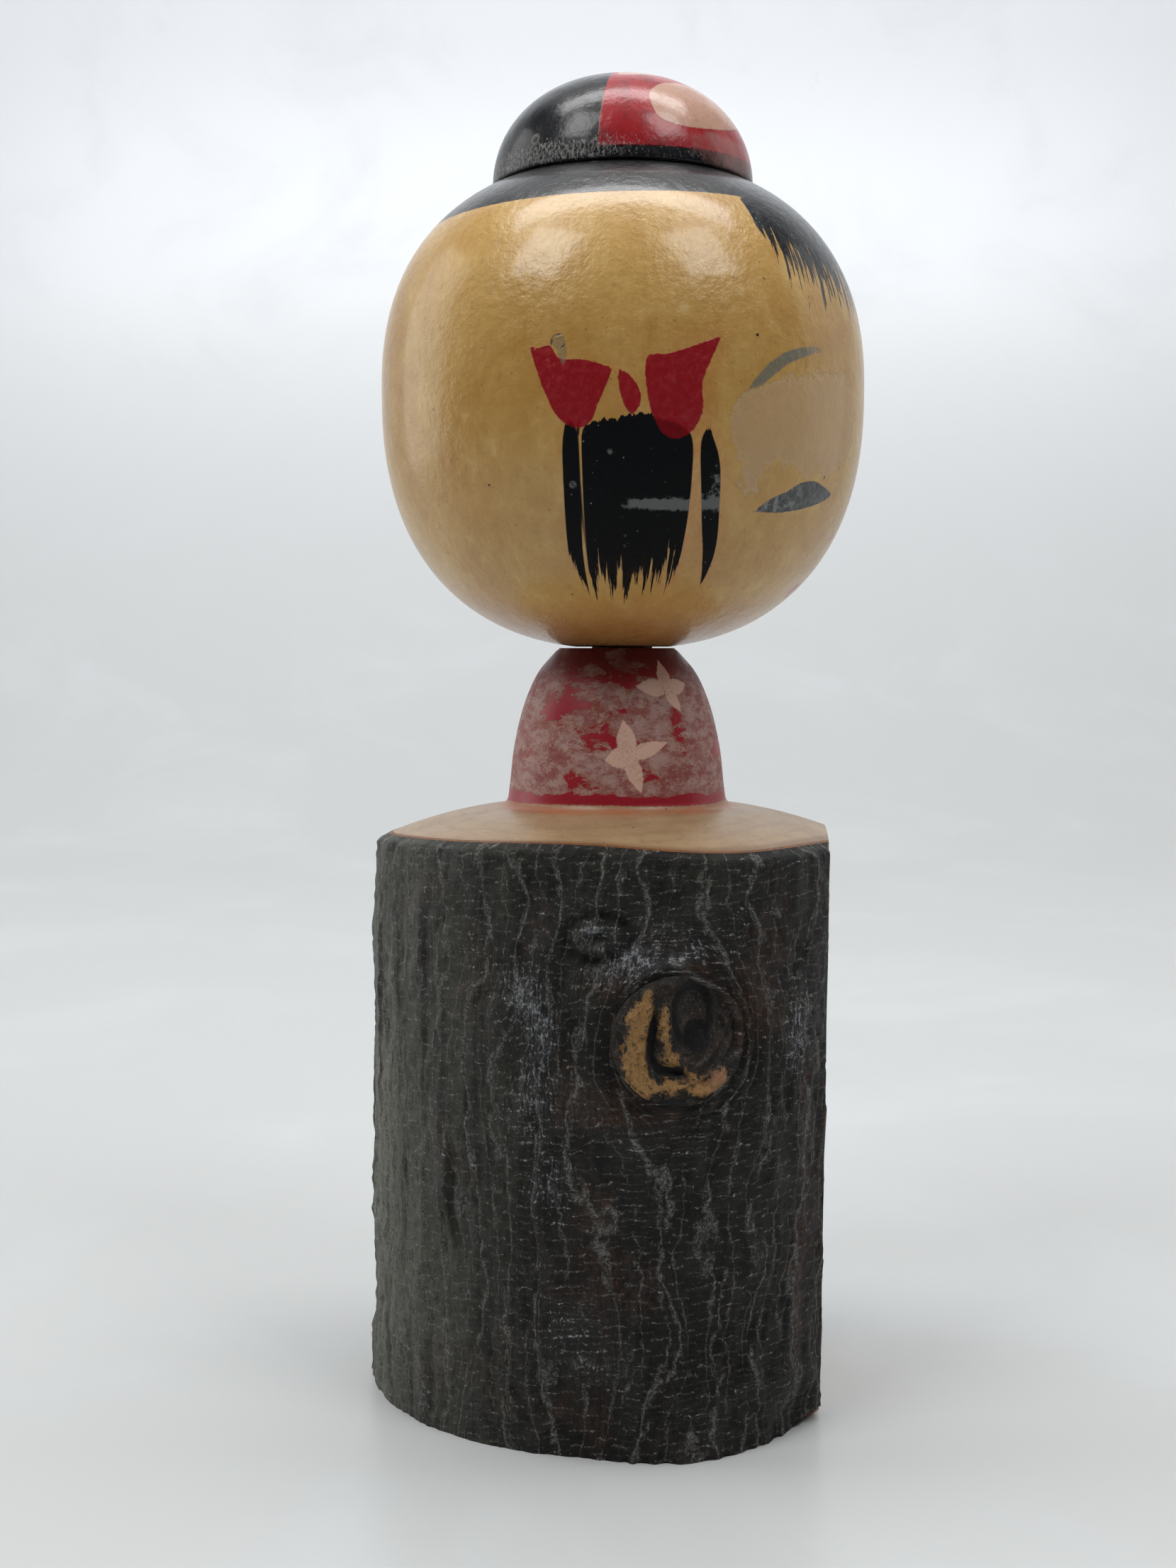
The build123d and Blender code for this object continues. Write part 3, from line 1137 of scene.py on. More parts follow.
@dataclass
class Head:
    """The turned head with its bores and everything painted on it."""

    below: float = 28.9 * MM
    above: float = 25.55 * MM
    power: float = 2.38
    seat_cut: float = 0.25 * MM
    crown_cut: float = 2.45 * MM
    neck_bore: float = 3.56 * MM
    neck_depth: float = 18.65 * MM
    knot_bore: float = 3.0 * MM
    knot_depth: float = 7.8 * MM
    columns: int = 420
    rows: int = 94
    face: FaceMap = FaceMap()

    bow_back: Points = (
        (-96.3, 116.5), (-96.3, 116.5), (-94.6, 116.0), (-91.5, 116.2), (-89.5, 114.9),
        (-84.6, 114.7), (-79.3, 114.0), (-78.4, 113.4), (-81.1, 110.4), (-82.8, 108.5),
        (-86.1, 107.9), (-89.6, 108.9), (-91.8, 110.6), (-94.2, 113.4),
    )
    bow_knot: Points = (
        (-76.9, 113.6), (-74.2, 113.0), (-72.4, 111.6), (-72.2, 110.3), (-73.9, 109.2),
        (-75.7, 110.2), (-76.6, 111.8),
    )
    bow_front: Points = (
        (-71.0, 114.8), (-66.0, 115.3), (-60.5, 116.2), (-54.5, 117.3), (-54.5, 117.3),
        (-56.9, 114.9), (-58.9, 112.5), (-58.6, 110.2), (-59.7, 108.4), (-62.5, 107.1),
        (-65.8, 106.9), (-68.3, 108.0), (-70.5, 110.7),
    )
    tuft_main: Points = (
        (-84.9, 108.2), (-84.9, 108.2), (-79.2, 108.7), (-73.7, 109.2), (-69.2, 109.1),
        (-61.5, 107.6), (-60.3, 103.0), (-60.3, 96.2), (-60.6, 88.0), (-60.6, 88.0), (-85.8, 88.0),
        (-85.8, 88.0), (-85.3, 96.0), (-85.0, 102.0),
    )
    tuft_back: Points = (
        (-88.8, 107.6), (-86.0, 108.1), (-85.7, 101.0), (-86.4, 95.0), (-87.0, 89.0), (-91.4, 89.0),
        (-90.2, 96.0), (-89.5, 101.0),
    )
    tuft_front: Points = (
        (-57.4, 108.4), (-57.4, 108.4), (-54.1, 104.9), (-52.7, 100.6), (-50.9, 95.6),
        (-51.2, 92.6), (-50.6, 91.0), (-50.6, 91.0), (-54.2, 95.4), (-56.9, 99.5), (-58.8, 106.0),
    )
    hair: Points = (
        (-200.0, 132.5), (-200.0, 132.5), (-134.0, 132.3), (-90.0, 132.5), (-42.0, 133.0),
        (-41.2, 132.6), (-40.7, 130.0), (-41.2, 126.0), (-42.0, 118.0), (-42.0, 118.0),
        (20.0, 118.0), (20.0, 118.0), (20.0, 175.0), (20.0, 175.0), (-200.0, 175.0),
        (-200.0, 175.0),
    )
    eye: Points = (
        (-42.9, 99.9), (-42.9, 99.9), (-38.5, 101.3), (-34.0, 102.1), (-30.4, 103.0),
        (-25.2, 103.4), (-20.4, 103.0), (-15.5, 102.3), (-18.5, 101.5), (-23.0, 100.9),
        (-29.0, 100.3), (-36.0, 99.9),
    )
    brow: Points = (
        (-48.3, 112.0), (-48.3, 112.0), (-45.0, 113.9), (-40.5, 115.6), (-35.8, 116.6),
        (-30.0, 117.1), (-23.5, 117.2), (-30.0, 116.3), (-36.2, 115.3), (-41.0, 113.9),
        (-44.6, 112.6),
    )
    wash: Points = (
        (-52.9, 109.2), (-48.1, 111.4), (-41.3, 113.2), (-28.3, 114.8), (-13.9, 114.2),
        (-7.5, 110.1), (-12.5, 105.6), (-24.5, 104.3), (-36.6, 104.9), (-41.2, 103.8),
        (-45.5, 102.3), (-49.4, 105.4),
    )
    lips: Points = ((-4.2, 92.3), (-1.6, 93.1), (0.0, 92.8), (1.6, 93.1), (4.2, 92.3), (0.0, 91.2))
    nose: Points = ((-2.6, 97.2), (-1.0, 98.4), (1.0, 98.4), (2.6, 97.2), (1.0, 97.8), (-1.0, 97.8))

    def __post_init__(self) -> None:
        """Takes the seat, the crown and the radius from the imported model."""
        low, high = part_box("head")
        self.seat, self.crown = low.z, high.z
        self.radius = (high.x - low.x) / 2
        self.equator = self.seat + self.below - self.seat_cut

    def profile(self) -> Array:
        """(radius, height) from the neck bore's end, round the outside, to the upper bore's end.

        Returns:
            The profile, in metres.
        """
        lower = superellipse(self.radius, self.below, self.power, self.seat_cut, self.rows)[::-1]
        upper = superellipse(self.radius, self.above, self.power, self.crown_cut, self.rows)
        lower = lower * (1, -1) + (0, self.equator)
        upper = upper[1:] + (0, self.equator)
        bore_top = self.seat + self.neck_depth
        bore_floor = self.crown - self.knot_depth
        return np.concatenate([
            [(0, bore_top)],
            line((self.neck_bore, bore_top), (self.neck_bore, self.seat), 3),
            line((self.neck_bore, self.seat), tuple(lower[0]), 3),
            lower,
            upper,
            line(tuple(upper[-1]), (self.knot_bore, self.crown), 3)[1:],
            line((self.knot_bore, self.crown), (self.knot_bore, bore_floor), 3),
            [(self.knot_bore, bore_floor), (0, bore_floor)],
        ])

    def mark(self, skin: Skin, heading: Array, height: Array) -> None:
        """Adds the painted marks, mirrored about the face's middle.

        Args:
            skin: The head's skin.
            heading: Headings of its points.
            height: Heights of its points.
        """
        around = self.face.around(heading)
        level = height / MM
        half = self.face.face - np.radians(np.abs(around))
        shapes = {
            "bow": (self.bow_back, self.bow_knot, self.bow_front),
            "black": (self.tuft_main, self.tuft_back, self.tuft_front, self.hair),
            "eye": (self.eye,),
            "brow": (self.brow,),
            "lips": (self.lips, self.nose),
            "wash": (self.wash,),
        }
        for name, outlines in shapes.items():
            found = [self.face.marked(half, height, outline, self.radius) for outline in outlines]
            skin.marks[name] = np.max(found, axis=0)
        skin.marks["wash"] = np.where(around < 0, skin.marks["wash"], -9.0)
        skin.marks.update(self._brushed(around, level))
        skin.marks.update(self._tones(around, level))

    def _brushed(self, around: Array, level: Array) -> dict[str, Array]:
        """Height over the ragged ends of the brush strokes, and how ragged they are.

        The ends of the fringe and of the side tufts are lines of height against the angle from
        the face's middle.

        Args:
            around: Degrees from the face's middle.
            level: Heights in millimetres.

        Returns:
            The marks.
        """
        side = np.abs(around)
        fringe = np.interp(side, (0.0, 6.2, 17.6, 25.3, 32.3, 37.1, 40.6, 42.2, 45.2, 45.8),
                           (123.9, 124.2, 124.4, 124.7, 125.4, 126.6, 129.4, 132.6, 132.6, 110.0))
        tuft = np.interp(side, (49.0, 57.5, 58.5, 60.0, 64.5, 71.0, 80.0, 85.0, 86.5, 90.6),
                         (86.0, 86.0, 95.0, 95.0, 93.4, 92.6, 93.0, 93.2, 94.0, 95.2))
        above = level > 114.0
        return {
            "tips": np.where(above, level - fringe, level - tuft),
            "ragged": np.where(above, 26.0, 17.0) - 22.0 * step(side, 37.0, 40.4) * above,
            "bristle": 0.2 + 2.4 * step(level, 107.0, 108.2) * (level < 112.0),
            "thin": step(level, 97.0, 91.0),
            "matt": step(level, 122.0, 112.0),
        }

    def _tones(self, around: Array, level: Array) -> dict[str, Array]:
        """Soft areas: bleed round the bow, wear, fading, two small marks, and painted underside
        shade.

        Args:
            around: Degrees from the face's middle.
            level: Heights in millimetres.

        Returns:
            The marks.
        """
        side = -np.abs(around)
        scale = radians(1) * self.radius / MM
        scuff = blob(around, level, (-64.7, 100.4), (14.0, 0.7)) * step(around, -77.5, -76.0)
        speck_x = (around + 89.6) * scale
        from_speck = np.hypot(speck_x, level - 116.5)
        tail = inside(
            speck_x, level, rounded(((-0.2, 116.1), (0.8, 116.1), (0.8, 114.6), (0.3, 114.3)))
        )
        return {
            "halo": blob(side, level, (-73.0, 104.0), (26.0, 15.0))
            * (0.3 + 0.7 * step(side, -72.0, -58.0)),
            "scuff": scuff + 0.5 * blob(around, level, (-54.0, 102.5), (3.2, 2.6)),
            "faded": 0.35 + 0.5 * blob(around, level, (-91.0, 114.5), (4.0, 2.0)),
            "brow_fade": step(side, -21.0, -33.0),
            "eye_wear": 0.3 + 0.7 * step(side, -27.0, -33.0),
            "ring": 0.13 - np.abs(from_speck - 0.72),
            "eyelet": np.maximum(0.72 - from_speck, tail),
            # painted shade under the head, strongest towards its seat
            "painted_underside_shade": step(level, 92.0, 86.5),
        }

    def build(self) -> bpy.types.Object:
        """The finished head.

        Returns:
            The head.
        """
        skin, heading, height = turned_skin(self.profile(), self.columns, self.radius)
        self.mark(skin, heading, height)
        return placed(
            skin.make("turned_head", HeadLacquer().build()), Body.UPPER, Slot.HEAD, "head"
        )


@dataclass
class Topknot:
    """The painted dome on the crown."""

    power: float = 2.14
    edge: float = 0.4 * MM
    bore: float = 3.0 * MM
    bore_depth: float = 7.8 * MM
    cloth_line: float = 139.3
    cloth_edge: float = 86.5
    crown_line: float = 148.2
    columns: int = 360
    rows: int = 90
    face: FaceMap = FaceMap()

    petal: Points = (
        (-62.8, 144.4), (-60.0, 145.9), (-50.0, 147.0), (-30.0, 147.6), (0.0, 147.8), (30.0, 147.6),
        (50.0, 147.0), (60.0, 145.9), (62.8, 144.4), (59.0, 142.2), (45.0, 141.5), (22.0, 142.2),
        (0.0, 143.4), (-22.0, 142.2), (-45.0, 141.5), (-59.0, 142.2),
    )

    def __post_init__(self) -> None:
        """Takes the foot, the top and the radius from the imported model."""
        low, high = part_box("topknot")
        self.foot, self.top = low.z, high.z
        self.radius = (high.x - low.x) / 2

    def profile(self) -> Array:
        """(radius, height) up the bore's end, out under the foot, round its edge and over the dome.

        Returns:
            The profile, in metres.
        """
        bore_top = self.foot + self.bore_depth
        turn = np.linspace(-pi / 2, 0, 6)
        centre = np.array([self.radius - self.edge, self.foot + self.edge])
        rim = np.stack([np.cos(turn), np.sin(turn)], axis=1) * self.edge + centre
        dome = (
            superellipse(self.radius, self.top - self.foot, self.power, 0, self.rows)
            + (0, self.foot)
        )
        dome = dome[dome[:, 1] > self.foot + self.edge]
        dome[-1, 0] = 0
        return np.concatenate([
            [(0, bore_top)],
            line((self.bore, bore_top), (self.bore, self.foot), 3),
            line((self.bore, self.foot), tuple(rim[0]), 4),
            rim,
            dome,
        ])

    def build(self) -> bpy.types.Object:
        """The finished topknot.

        Returns:
            The topknot.
        """
        skin, heading, height = turned_skin(self.profile(), self.columns, self.radius)
        around, level = self.face.around(heading), height / MM
        side = np.abs(around)
        scale = radians(1) * self.radius / MM
        foot = self.cloth_line + 0.25 * np.sin(np.radians(around * 2 + 60))
        across = (self.cloth_edge - 1.2 * (level - foot) / 8 - side) * scale
        crown = np.minimum(
            level - self.crown_line - 0.5 * step(side, 78.0, 40.0), (80.0 - side) * scale
        )
        ring_x = (around + 116.9) * scale
        skin.marks = {
            "cloth": np.minimum(across, level - foot),
            "petal": np.maximum(
                self.face.marked(heading, height, self.petal, self.radius * 0.8), crown
            ),
            "rub": step(level, 142.4, 139.4)
            * step(level, 137.2, 138.0) * (0.72 + 0.28 * step(side, 60.0, 95.0)),
            "faded": step(level, 142.5, 140.5) * blob(around, level, (-20.0, 140.5), (32.0, 4.0)),
            "ring": 0.16 - np.abs(np.hypot(ring_x, level - 140.6) - 0.5),
        }
        piece = skin.make("turned_topknot", TopknotLacquer().build())
        return placed(piece, Body.UPPER, Slot.TOPKNOT, "topknot")


# Branch ------------------------------------------------------------------------------------------


@dataclass
class Trunk:
    """The branch's outline, its lean, its sawn front and the lathe's shoulder over its top."""

    mean_radius: float = 27.35 * MM
    lobes: tuple[tuple[int, float, float], ...] = (
        (1, 0.50 * MM, radians(125.0)),
        (2, 0.97 * MM, radians(-14.5)),
        (3, 0.25 * MM, radians(-55.0)),
        (4, 0.21 * MM, radians(14.0)),
        (5, 0.20 * MM, radians(8.0)),
        (6, 0.22 * MM, radians(-1.0)),
    )
    lean: float = radians(0.5)
    bark: float = 1.6 * MM
    bast: float = 0.45 * MM
    front_cut: float = 3.7 * MM
    axis_back: float = 0.6 * MM
    shoulder: float = 67.5 * MM
    foot_radius: float = 13.9 * MM
    slope: float = 0.12
    curve: float = 45.0 * MM

    def radius(self, heading: Array) -> Array:
        """Radius over the bark: the mean plus a cosine for each lobe."""
        waves = [rise * np.cos(count * (heading - crest)) for count, rise, crest in self.lobes]
        return self.mean_radius + np.sum(waves, axis=0)

    def middle(self, height: Array) -> Array:
        """Y of the section's centre, which leans forward as it rises."""
        return self.axis_back - tan(self.lean) * height

    def flat(self) -> float:
        """Distance of the sawn front from the section's centre."""
        return (self.mean_radius - self.front_cut) / cos(self.lean)

    def shoulder_height(self, radius: Array) -> Array:
        """Height of the turned shoulder: a straight fall and a square term from the bust's foot."""
        run = radius - self.foot_radius
        return self.shoulder - self.slope * run - run**2 / (2 * self.curve)

    def corner(self, side: float, reach: Array) -> Array:
        """Heading at which a surface of that radius meets the sawn front: arccos(flat / radius)."""
        return side * np.arccos(np.clip(self.flat() / reach, -1, 1))

    def at(self, heading: Array, reach: Array, height: Array) -> Array:
        """Points at headings and distances from the leaning centre line.

        Args:
            heading: Headings of the points.
            reach: Distances from the centre line.
            height: Heights of the points.

        Returns:
            The points.
        """
        flat = direction(heading) * reach[..., None]
        flat[..., 1] += self.middle(height)
        return np.concatenate([flat, np.broadcast_to(height, heading.shape)[..., None]], axis=-1)

    def rim_height(self, heading: Array, reach: Array) -> Array:
        """Height where a surface of that radius meets the shoulder, settled in a few rounds.

        Args:
            heading: Headings of the points.
            reach: Distance of the surface from the centre line.

        Returns:
            The heights.
        """
        height = np.full(heading.shape, self.shoulder)
        for _ in range(4):
            spot = self.at(heading, reach, height)
            height = self.shoulder_height(np.hypot(spot[..., 0], spot[..., 1] - self.axis_back))
        return height


@dataclass
class Knot:
    """The side branch's stub: where it is, and its face in its own (across, up) millimetres."""

    trunk: Trunk
    radius: float = 6.9 * MM
    heading: float = radians(-72.6)
    height: float = 45.0 * MM
    depth: float = 9.0 * MM
    rows: int = 80
    columns: int = 200

    crescent: Points = (
        (-3.0, 5.2), (-4.5, 4.2), (-5.3, 1.8), (-5.5, -1.6), (-4.9, -3.6), (-3.8, -5.3),
        (-2.9, -5.0), (-2.0, -4.5), (0.6, -4.5), (2.6, -5.1), (4.3, -4.7), (5.3, -3.5), (4.9, -2.3),
        (3.9, -2.2), (3.0, -3.2), (1.4, -3.3), (-0.4, -3.1), (-2.0, -3.0), (-2.9, -1.6),
        (-3.0, 0.8), (-2.3, 3.6),
    )
    sliver: Points = (
        (-1.1, 4.3), (-0.8, 1.6), (0.1, -1.0), (1.9, -3.2), (0.5, -2.1), (-1.5, -1.6), (-1.9, 0.4),
        (-1.9, 2.6),
    )
    gap: Points = (
        (-2.4, 4.0), (-1.9, 2.0), (-1.9, -1.2), (0.4, -2.0), (0.8, -2.9), (-1.8, -2.8),
        (-2.9, -1.2), (-3.1, 1.0),
    )
    stretch: tuple[float, float] = (1.06, 1.12)
    middle: tuple[float, float] = (-0.15, -0.6)
    deepest: float = -1.4
    wall_step: float = 4.5
    map_radius: float = 6.0
    seed: int = 7

    def local(self, heading: Array, height: Array) -> tuple[Array, Array]:
        """Millimetres across and up from the knot's middle, measured on the bark's surface.

        Args:
            heading: Headings of the points.
            height: Heights of the points.

        Returns:
            The places across and up.
        """
        reach = float(self.trunk.radius(np.array(self.heading)))
        turned = (heading - self.heading + pi) % (2 * pi) - pi
        return turned * reach / MM, (height - self.height) / MM

    def drawn(self, across: Array, up: Array) -> tuple[Array, Array]:
        """Place on the face as its outlines are drawn, before they are stretched and shifted."""
        return (across - self.middle[0]) / self.stretch[0], (up - self.middle[1]) / self.stretch[1]

    def wood(self, across: Array, up: Array) -> Array:
        """Signed distance in millimetres to the wood that shows, above 0 inside."""
        shapes = (self.crescent, self.sliver)
        return np.max([inside(across, up, rounded(shape)) for shape in shapes], axis=0)

    def face_relief(self, across: Array, up: Array) -> Array:
        """Height of the face over the bark's mean surface, in millimetres.

        A rough dished ground that meets the bark at its edge, raised where wood shows, with an
        oval hollow and slack rings about it.

        Args:
            across: Millimetres across from the knot's middle.
            up: Millimetres up from it.

        Returns:
            The heights.
        """
        noise = Relief(self.seed)
        spread = np.hypot(across, up) * MM / self.radius
        across, up = self.drawn(across, up)
        east, north = across / 16 + 0.5, up / 16 + 0.5
        rough = noise.layer(east, north, (9, 9)) + 0.6 * noise.layer(east, north, (22, 22))
        fine = noise.layer(east, north, (50, 50))
        hollow = np.hypot((across - 1.5) / 2.0, (up - 2.9) / 3.0) + 0.12 * rough
        rings = np.sin(np.hypot(across - 1.5, up - 0.8) * 2 * pi / 1.2 + 1.5 * rough)
        slack = step(across, -2.5, 1.5) * step(hollow, 1.0, 1.5)
        relief = -0.5 + 0.34 * step(spread + 0.08 * rough, 0.7, 1.0) + 0.13 * rings * slack
        relief += 0.55 * step(self.wood(across, up) + 0.35 * rough, -0.3, 0.45)
        relief -= 0.5 * step(hollow, 1.2, 0.7)
        relief -= (
            0.24 * step(np.hypot((across - 2.0) / 1.4, (up - 0.9) / 1.8) + 0.2 * rough, 1.0, 0.5)
        )
        relief -= 0.4 * step(inside(across, up, rounded(self.gap)) + 0.2 * rough, -0.2, 0.4)
        return np.maximum(relief + 0.13 * rough + 0.07 * fine, self.deepest)

    def build(self) -> bpy.types.Object:
        """The finished knot: a disc of rings for the face, a round wall and a flat back.

        A face point at (across, up) lies on the bark's curve, sqrt(R^2 - across^2), plus the
        face's relief.

        Returns:
            The knot.
        """
        share = np.linspace(0, 1, self.rows + 1)[1:]
        turn = np.linspace(0, 2 * pi, self.columns, endpoint=False)
        spread, angle = np.meshgrid(share * self.radius / MM, turn, indexing="ij")
        across, up = spread * np.cos(angle), spread * np.sin(angle)
        relief = self.face_relief(across, up)
        reach = float(self.trunk.radius(np.array(self.heading))) / MM
        out = np.sqrt(reach**2 - across**2) + relief
        wall_out = np.array([reach - self.wall_step, reach - self.depth / MM])[:, None]
        wall_out = wall_out + np.zeros(self.columns)
        back_out = np.full((1, self.columns), reach - self.depth / MM)
        across = np.concatenate([across, np.repeat(across[-1:], 2, 0), across[-1:] * 0.5])[::-1]
        up = np.concatenate([up, np.repeat(up[-1:], 2, 0), up[-1:] * 0.5])[::-1]
        out = np.concatenate([out, wall_out, back_out])[::-1]
        rings = self._placed(across, up, out)
        laid = np.stack(
            [np.broadcast_to(turn * self.map_radius, across.shape), np.hypot(across, up)], axis=-1
        )
        zero = np.zeros(1)
        floor = self._placed(zero, zero, np.array([reach - self.depth / MM]))[0]
        peak = self._placed(zero, zero, reach + self.face_relief(zero, zero))[0]
        skin = ringed_skin(rings, floor, peak, laid, 2 * pi * self.map_radius)
        skin.marks = self._marks(np.append(across.ravel(), [0, 0]), np.append(up.ravel(), [0, 0]))
        piece = skin.make("branch_stub", OldKnot().build(), sharp=70.0)
        return placed(piece, Body.BASE, Slot.KNOT, "branch_knot")

    def _placed(self, across: Array, up: Array, out: Array) -> Array:
        """Row-frame points from millimetres across, up and out from the branch's centre line.

        Args:
            across: Millimetres across from the knot's middle.
            up: Millimetres up from it.
            out: Millimetres from the centre line.

        Returns:
            The points.
        """
        outward = direction(np.array(self.heading))
        along = direction(np.array(self.heading + pi / 2))
        flat = outward * out[..., None] + along * across[..., None]
        points = np.concatenate([flat, up[..., None]], axis=-1) * MM
        points[..., 2] += self.height
        points[..., 1] += self.trunk.middle(points[..., 2])
        return points

    def _marks(self, across: Array, up: Array) -> dict[str, Array]:
        """Where the wood shows, where it is pink, and the painted shade in the hollow.

        Args:
            across: Millimetres across from the knot's middle.
            up: Millimetres up from it.

        Returns:
            The marks.
        """
        across, up = self.drawn(across, up)
        # painted shade in the knot's recesses: pit, ring inside the round hollow, under the
        # crescent, gap
        pit = step(np.hypot((across - 2.0) / 1.5, (up - 0.9) / 1.9), 1.25, 0.5)
        round_it = np.hypot((across - 1.5) / 2.0, (up - 3.0) / 3.1)
        shade = 0.75 * step(round_it, 1.25, 1.0) * step(round_it, 0.6, 0.85)
        under = step(np.hypot((across + 0.6) / 2.0, (up + 5.4) / 0.6), 1.2, 0.5)
        gap = 0.8 * step(inside(across, up, rounded(self.gap)), -0.1, 0.4)
        hollow = np.max([pit, shade, under, gap], axis=0)
        return {"wood": self.wood(across, up), "pink": step(across, 1.5, 4.5), "hollow": hollow}


@dataclass
class Bark:
    """The dead bark round the branch, open where the front is sawn."""

    trunk: Trunk
    knot: Knot
    seed: int = 41
    columns: int = 480
    rows: int = 188
    inner_rows: int = 6
    edge: float = 0.3 * MM
    floor: float = 1.56 * MM
    chip: float = 1.5 * MM
    chip_width: float = radians(7.0)
    post: float = 6.8
    lumps: Spots = (
        ((-8.5, 18.0), (5.0, 9.0), -0.5),
        ((-14.0, -33.0), (2.2, 1.8), 0.7), ((3.0, -30.0), (2.0, 1.6), 0.6),
        ((14.5, -43.5), (4.5, 3.0), -1.1), ((15.5, 0.0), (3.0, 6.0), 0.35),
    )
    blooms: Spots = (
        ((-17.6, 4.4), (3.2, 3.6), 0.42), ((-15.0, 0.0), (2.0, 3.4), 0.34),
        ((-16.6, -6.6), (3.4, 4.6), 0.34), ((-14.2, -16.0), (3.0, 4.2), 0.32),
        ((-9.2, 11.5), (1.7, 0.7), 0.62), ((-12.0, -31.0), (3.0, 3.0), 0.24),
        ((2.0, 9.6), (2.6, 1.6), 0.3), ((14.4, 0.0), (2.4, 6.5), 0.4),
        ((-24.0, 12.0), (2.0, 9.0), 0.12), ((6.5, 14.0), (1.0, 6.0), 0.2),
    )
    tans: Spots = (
        ((1.6, 7.4), (1.4, 0.9), 0.9), ((9.0, 2.6), (3.2, 3.0), 0.7),
        ((-7.6, 5.6), (2.6, 1.6), 0.6), ((-6.6, -6.4), (2.0, 2.0), 0.5),
        ((16.0, -30.0), (0.7, 9.0), 0.8), ((16.0, -12.0), (0.6, 5.0), 0.6),
    )

    def flow(self, heading: Array, height: Array) -> Array:
        """Place round the branch in turns, bent round the knot as a stream is round a post.

        The shift is -a K^2 / d^2 for a point a across from the knot and d away from it, plus a
        random sway.

        Args:
            heading: Headings of the points.
            height: Heights of the points.

        Returns:
            The places, in turns.
        """
        noise = Relief(self.seed)
        across, up = self.knot.local(heading, height)
        spread = np.maximum(np.hypot(across, up), self.post)
        around = 2 * pi * self.trunk.mean_radius / MM
        turns = heading / (2 * pi)
        rise = height / self.trunk.shoulder
        sway = (
            noise.layer(turns, rise, (14, 6)) * 0.006 + noise.layer(turns, rise, (40, 16)) * 0.003
        )
        return turns + sway - across * self.post**2 / spread**2 / around

    def relief(self, heading: Array, height: Array) -> tuple[Array, Array]:
        """Height over the mean surface in metres, and the same from 0 to 1 for the colour.

        Upright wrinkles are the narrow strips where a noise of tall cells crosses zero,
        1 - |n| / w, at two spacings.  Rings about the knot, a bud scar and broad swellings are
        added to them.

        Args:
            heading: Headings of the points.
            height: Heights of the points.

        Returns:
            The heights and the tones.
        """
        noise = Relief(self.seed + 1)
        across, up = self.knot.local(heading, height)
        spread = np.hypot(across, up)
        turns = self.flow(heading, height)
        rise = height / self.trunk.shoulder
        broad = noise.layer(turns, rise, (9, 3))
        swell = noise.layer(turns, rise, (34, 6))
        ribs = step(np.abs(noise.layer(turns, rise, (38, 5))), 0.34, 0.0)
        ribs *= step(noise.layer(turns, rise, (20, 12)), -0.7, 0.2)
        minor = step(np.abs(noise.layer(turns, rise, (84, 9))), 0.4, 0.0)
        small = noise.layer(turns, rise, (150, 44))
        grain = noise.layer(turns, rise, (239, 94))
        near = step(spread, 12.0, 7.0)
        ring_noise = noise.layer(turns, rise, (30, 12))
        rings = np.sin(spread * 2 * pi / 1.25 + 2.2 * ring_noise) * near * step(across, -4.0, 3.0)
        tone = 0.62 * ribs + 0.3 * minor + 0.22 * small + 0.22 * grain + 0.3 * rings + 0.16 * swell
        bud = np.hypot((across + 8.95) / 2.9, (up - 10.7) / 1.8)
        scar = step(bud, 1.15, 0.75) - 0.7 * step(bud, 0.55, 0.15)
        lip = blob(spread, up * 0, (8.4, 0.0), (1.6, 1.0)) * step(across * 0.4 - up, 1.0, -5.0)
        lift = 0.24 * broad + 0.12 * swell + 0.5 * (tone - 0.4) + 0.75 * scar + 0.25 * lip
        for place, size, rise_by in self.lumps:
            lift += rise_by * blob(across, up, place, size)
        lift += 0.2 * blob(across, up, (12.0, -42.0), (5.0, 3.0)) * ring_noise
        rim = blob(bud, up * 0, (1.3, 0.0), (0.22, 1.0))
        return (lift - 0.3 * rim) * MM, 0.12 + 0.72 * tone + 0.3 * scar - 0.5 * rim

    def build(self) -> bpy.types.Object:
        """The finished bark.

        Columns go round from one sawn corner to the other, outside and back inside.  The
        outer surface has the relief, is rounded over at the rim, and sinks behind the knot;
        the two ends and the two rims are ribbons between it and the inner surface.

        Returns:
            The bark.
        """
        share = np.linspace(0, 1, self.columns)
        outer, turn, rise, tone = self._sheet(share, self.rows, True)
        inner, turn_in, rise_in, tone_in = self._sheet(share, self.inner_rows, False)
        count = outer.shape[0] * outer.shape[1]
        outside = grid_quads(self.rows, self.columns, False)
        inside_faces = grid_quads(self.inner_rows, self.columns, False)[:, ::-1] + count
        number = np.arange(count).reshape(self.rows, self.columns)
        number_in = (
            np.arange(inner.shape[0] * inner.shape[1]).reshape(self.inner_rows, self.columns)
            + count
        )
        top = np.stack(
            [number[-1, :-1], number[-1, 1:], number_in[-1, 1:], number_in[-1, :-1]], axis=1
        )
        foot = np.stack(
            [number[0, 1:], number[0, :-1], number_in[0, :-1], number_in[0, 1:]], axis=1
        )
        start = ribbon(number[:, 0], number_in[:, 0])
        end = ribbon(number[:, -1], number_in[:, -1])[:, ::-1]
        points = np.concatenate([outer.reshape(-1, 3), inner.reshape(-1, 3)])
        heading = np.concatenate([turn.ravel(), turn_in.ravel()])
        height = np.concatenate([rise.ravel(), rise_in.ravel()])
        around = 2 * pi * self.trunk.mean_radius / MM
        laid = np.stack([self.flow(heading, height) * around, height / MM], axis=-1)
        quads = np.concatenate([outside, inside_faces, top, foot])
        skin = Skin(points, quads, np.concatenate([start, end]), laid, NO_SEAM)
        skin.marks = self._marks(heading, height, count)
        skin.marks["relief"] = np.concatenate([tone.ravel(), tone_in.ravel()])
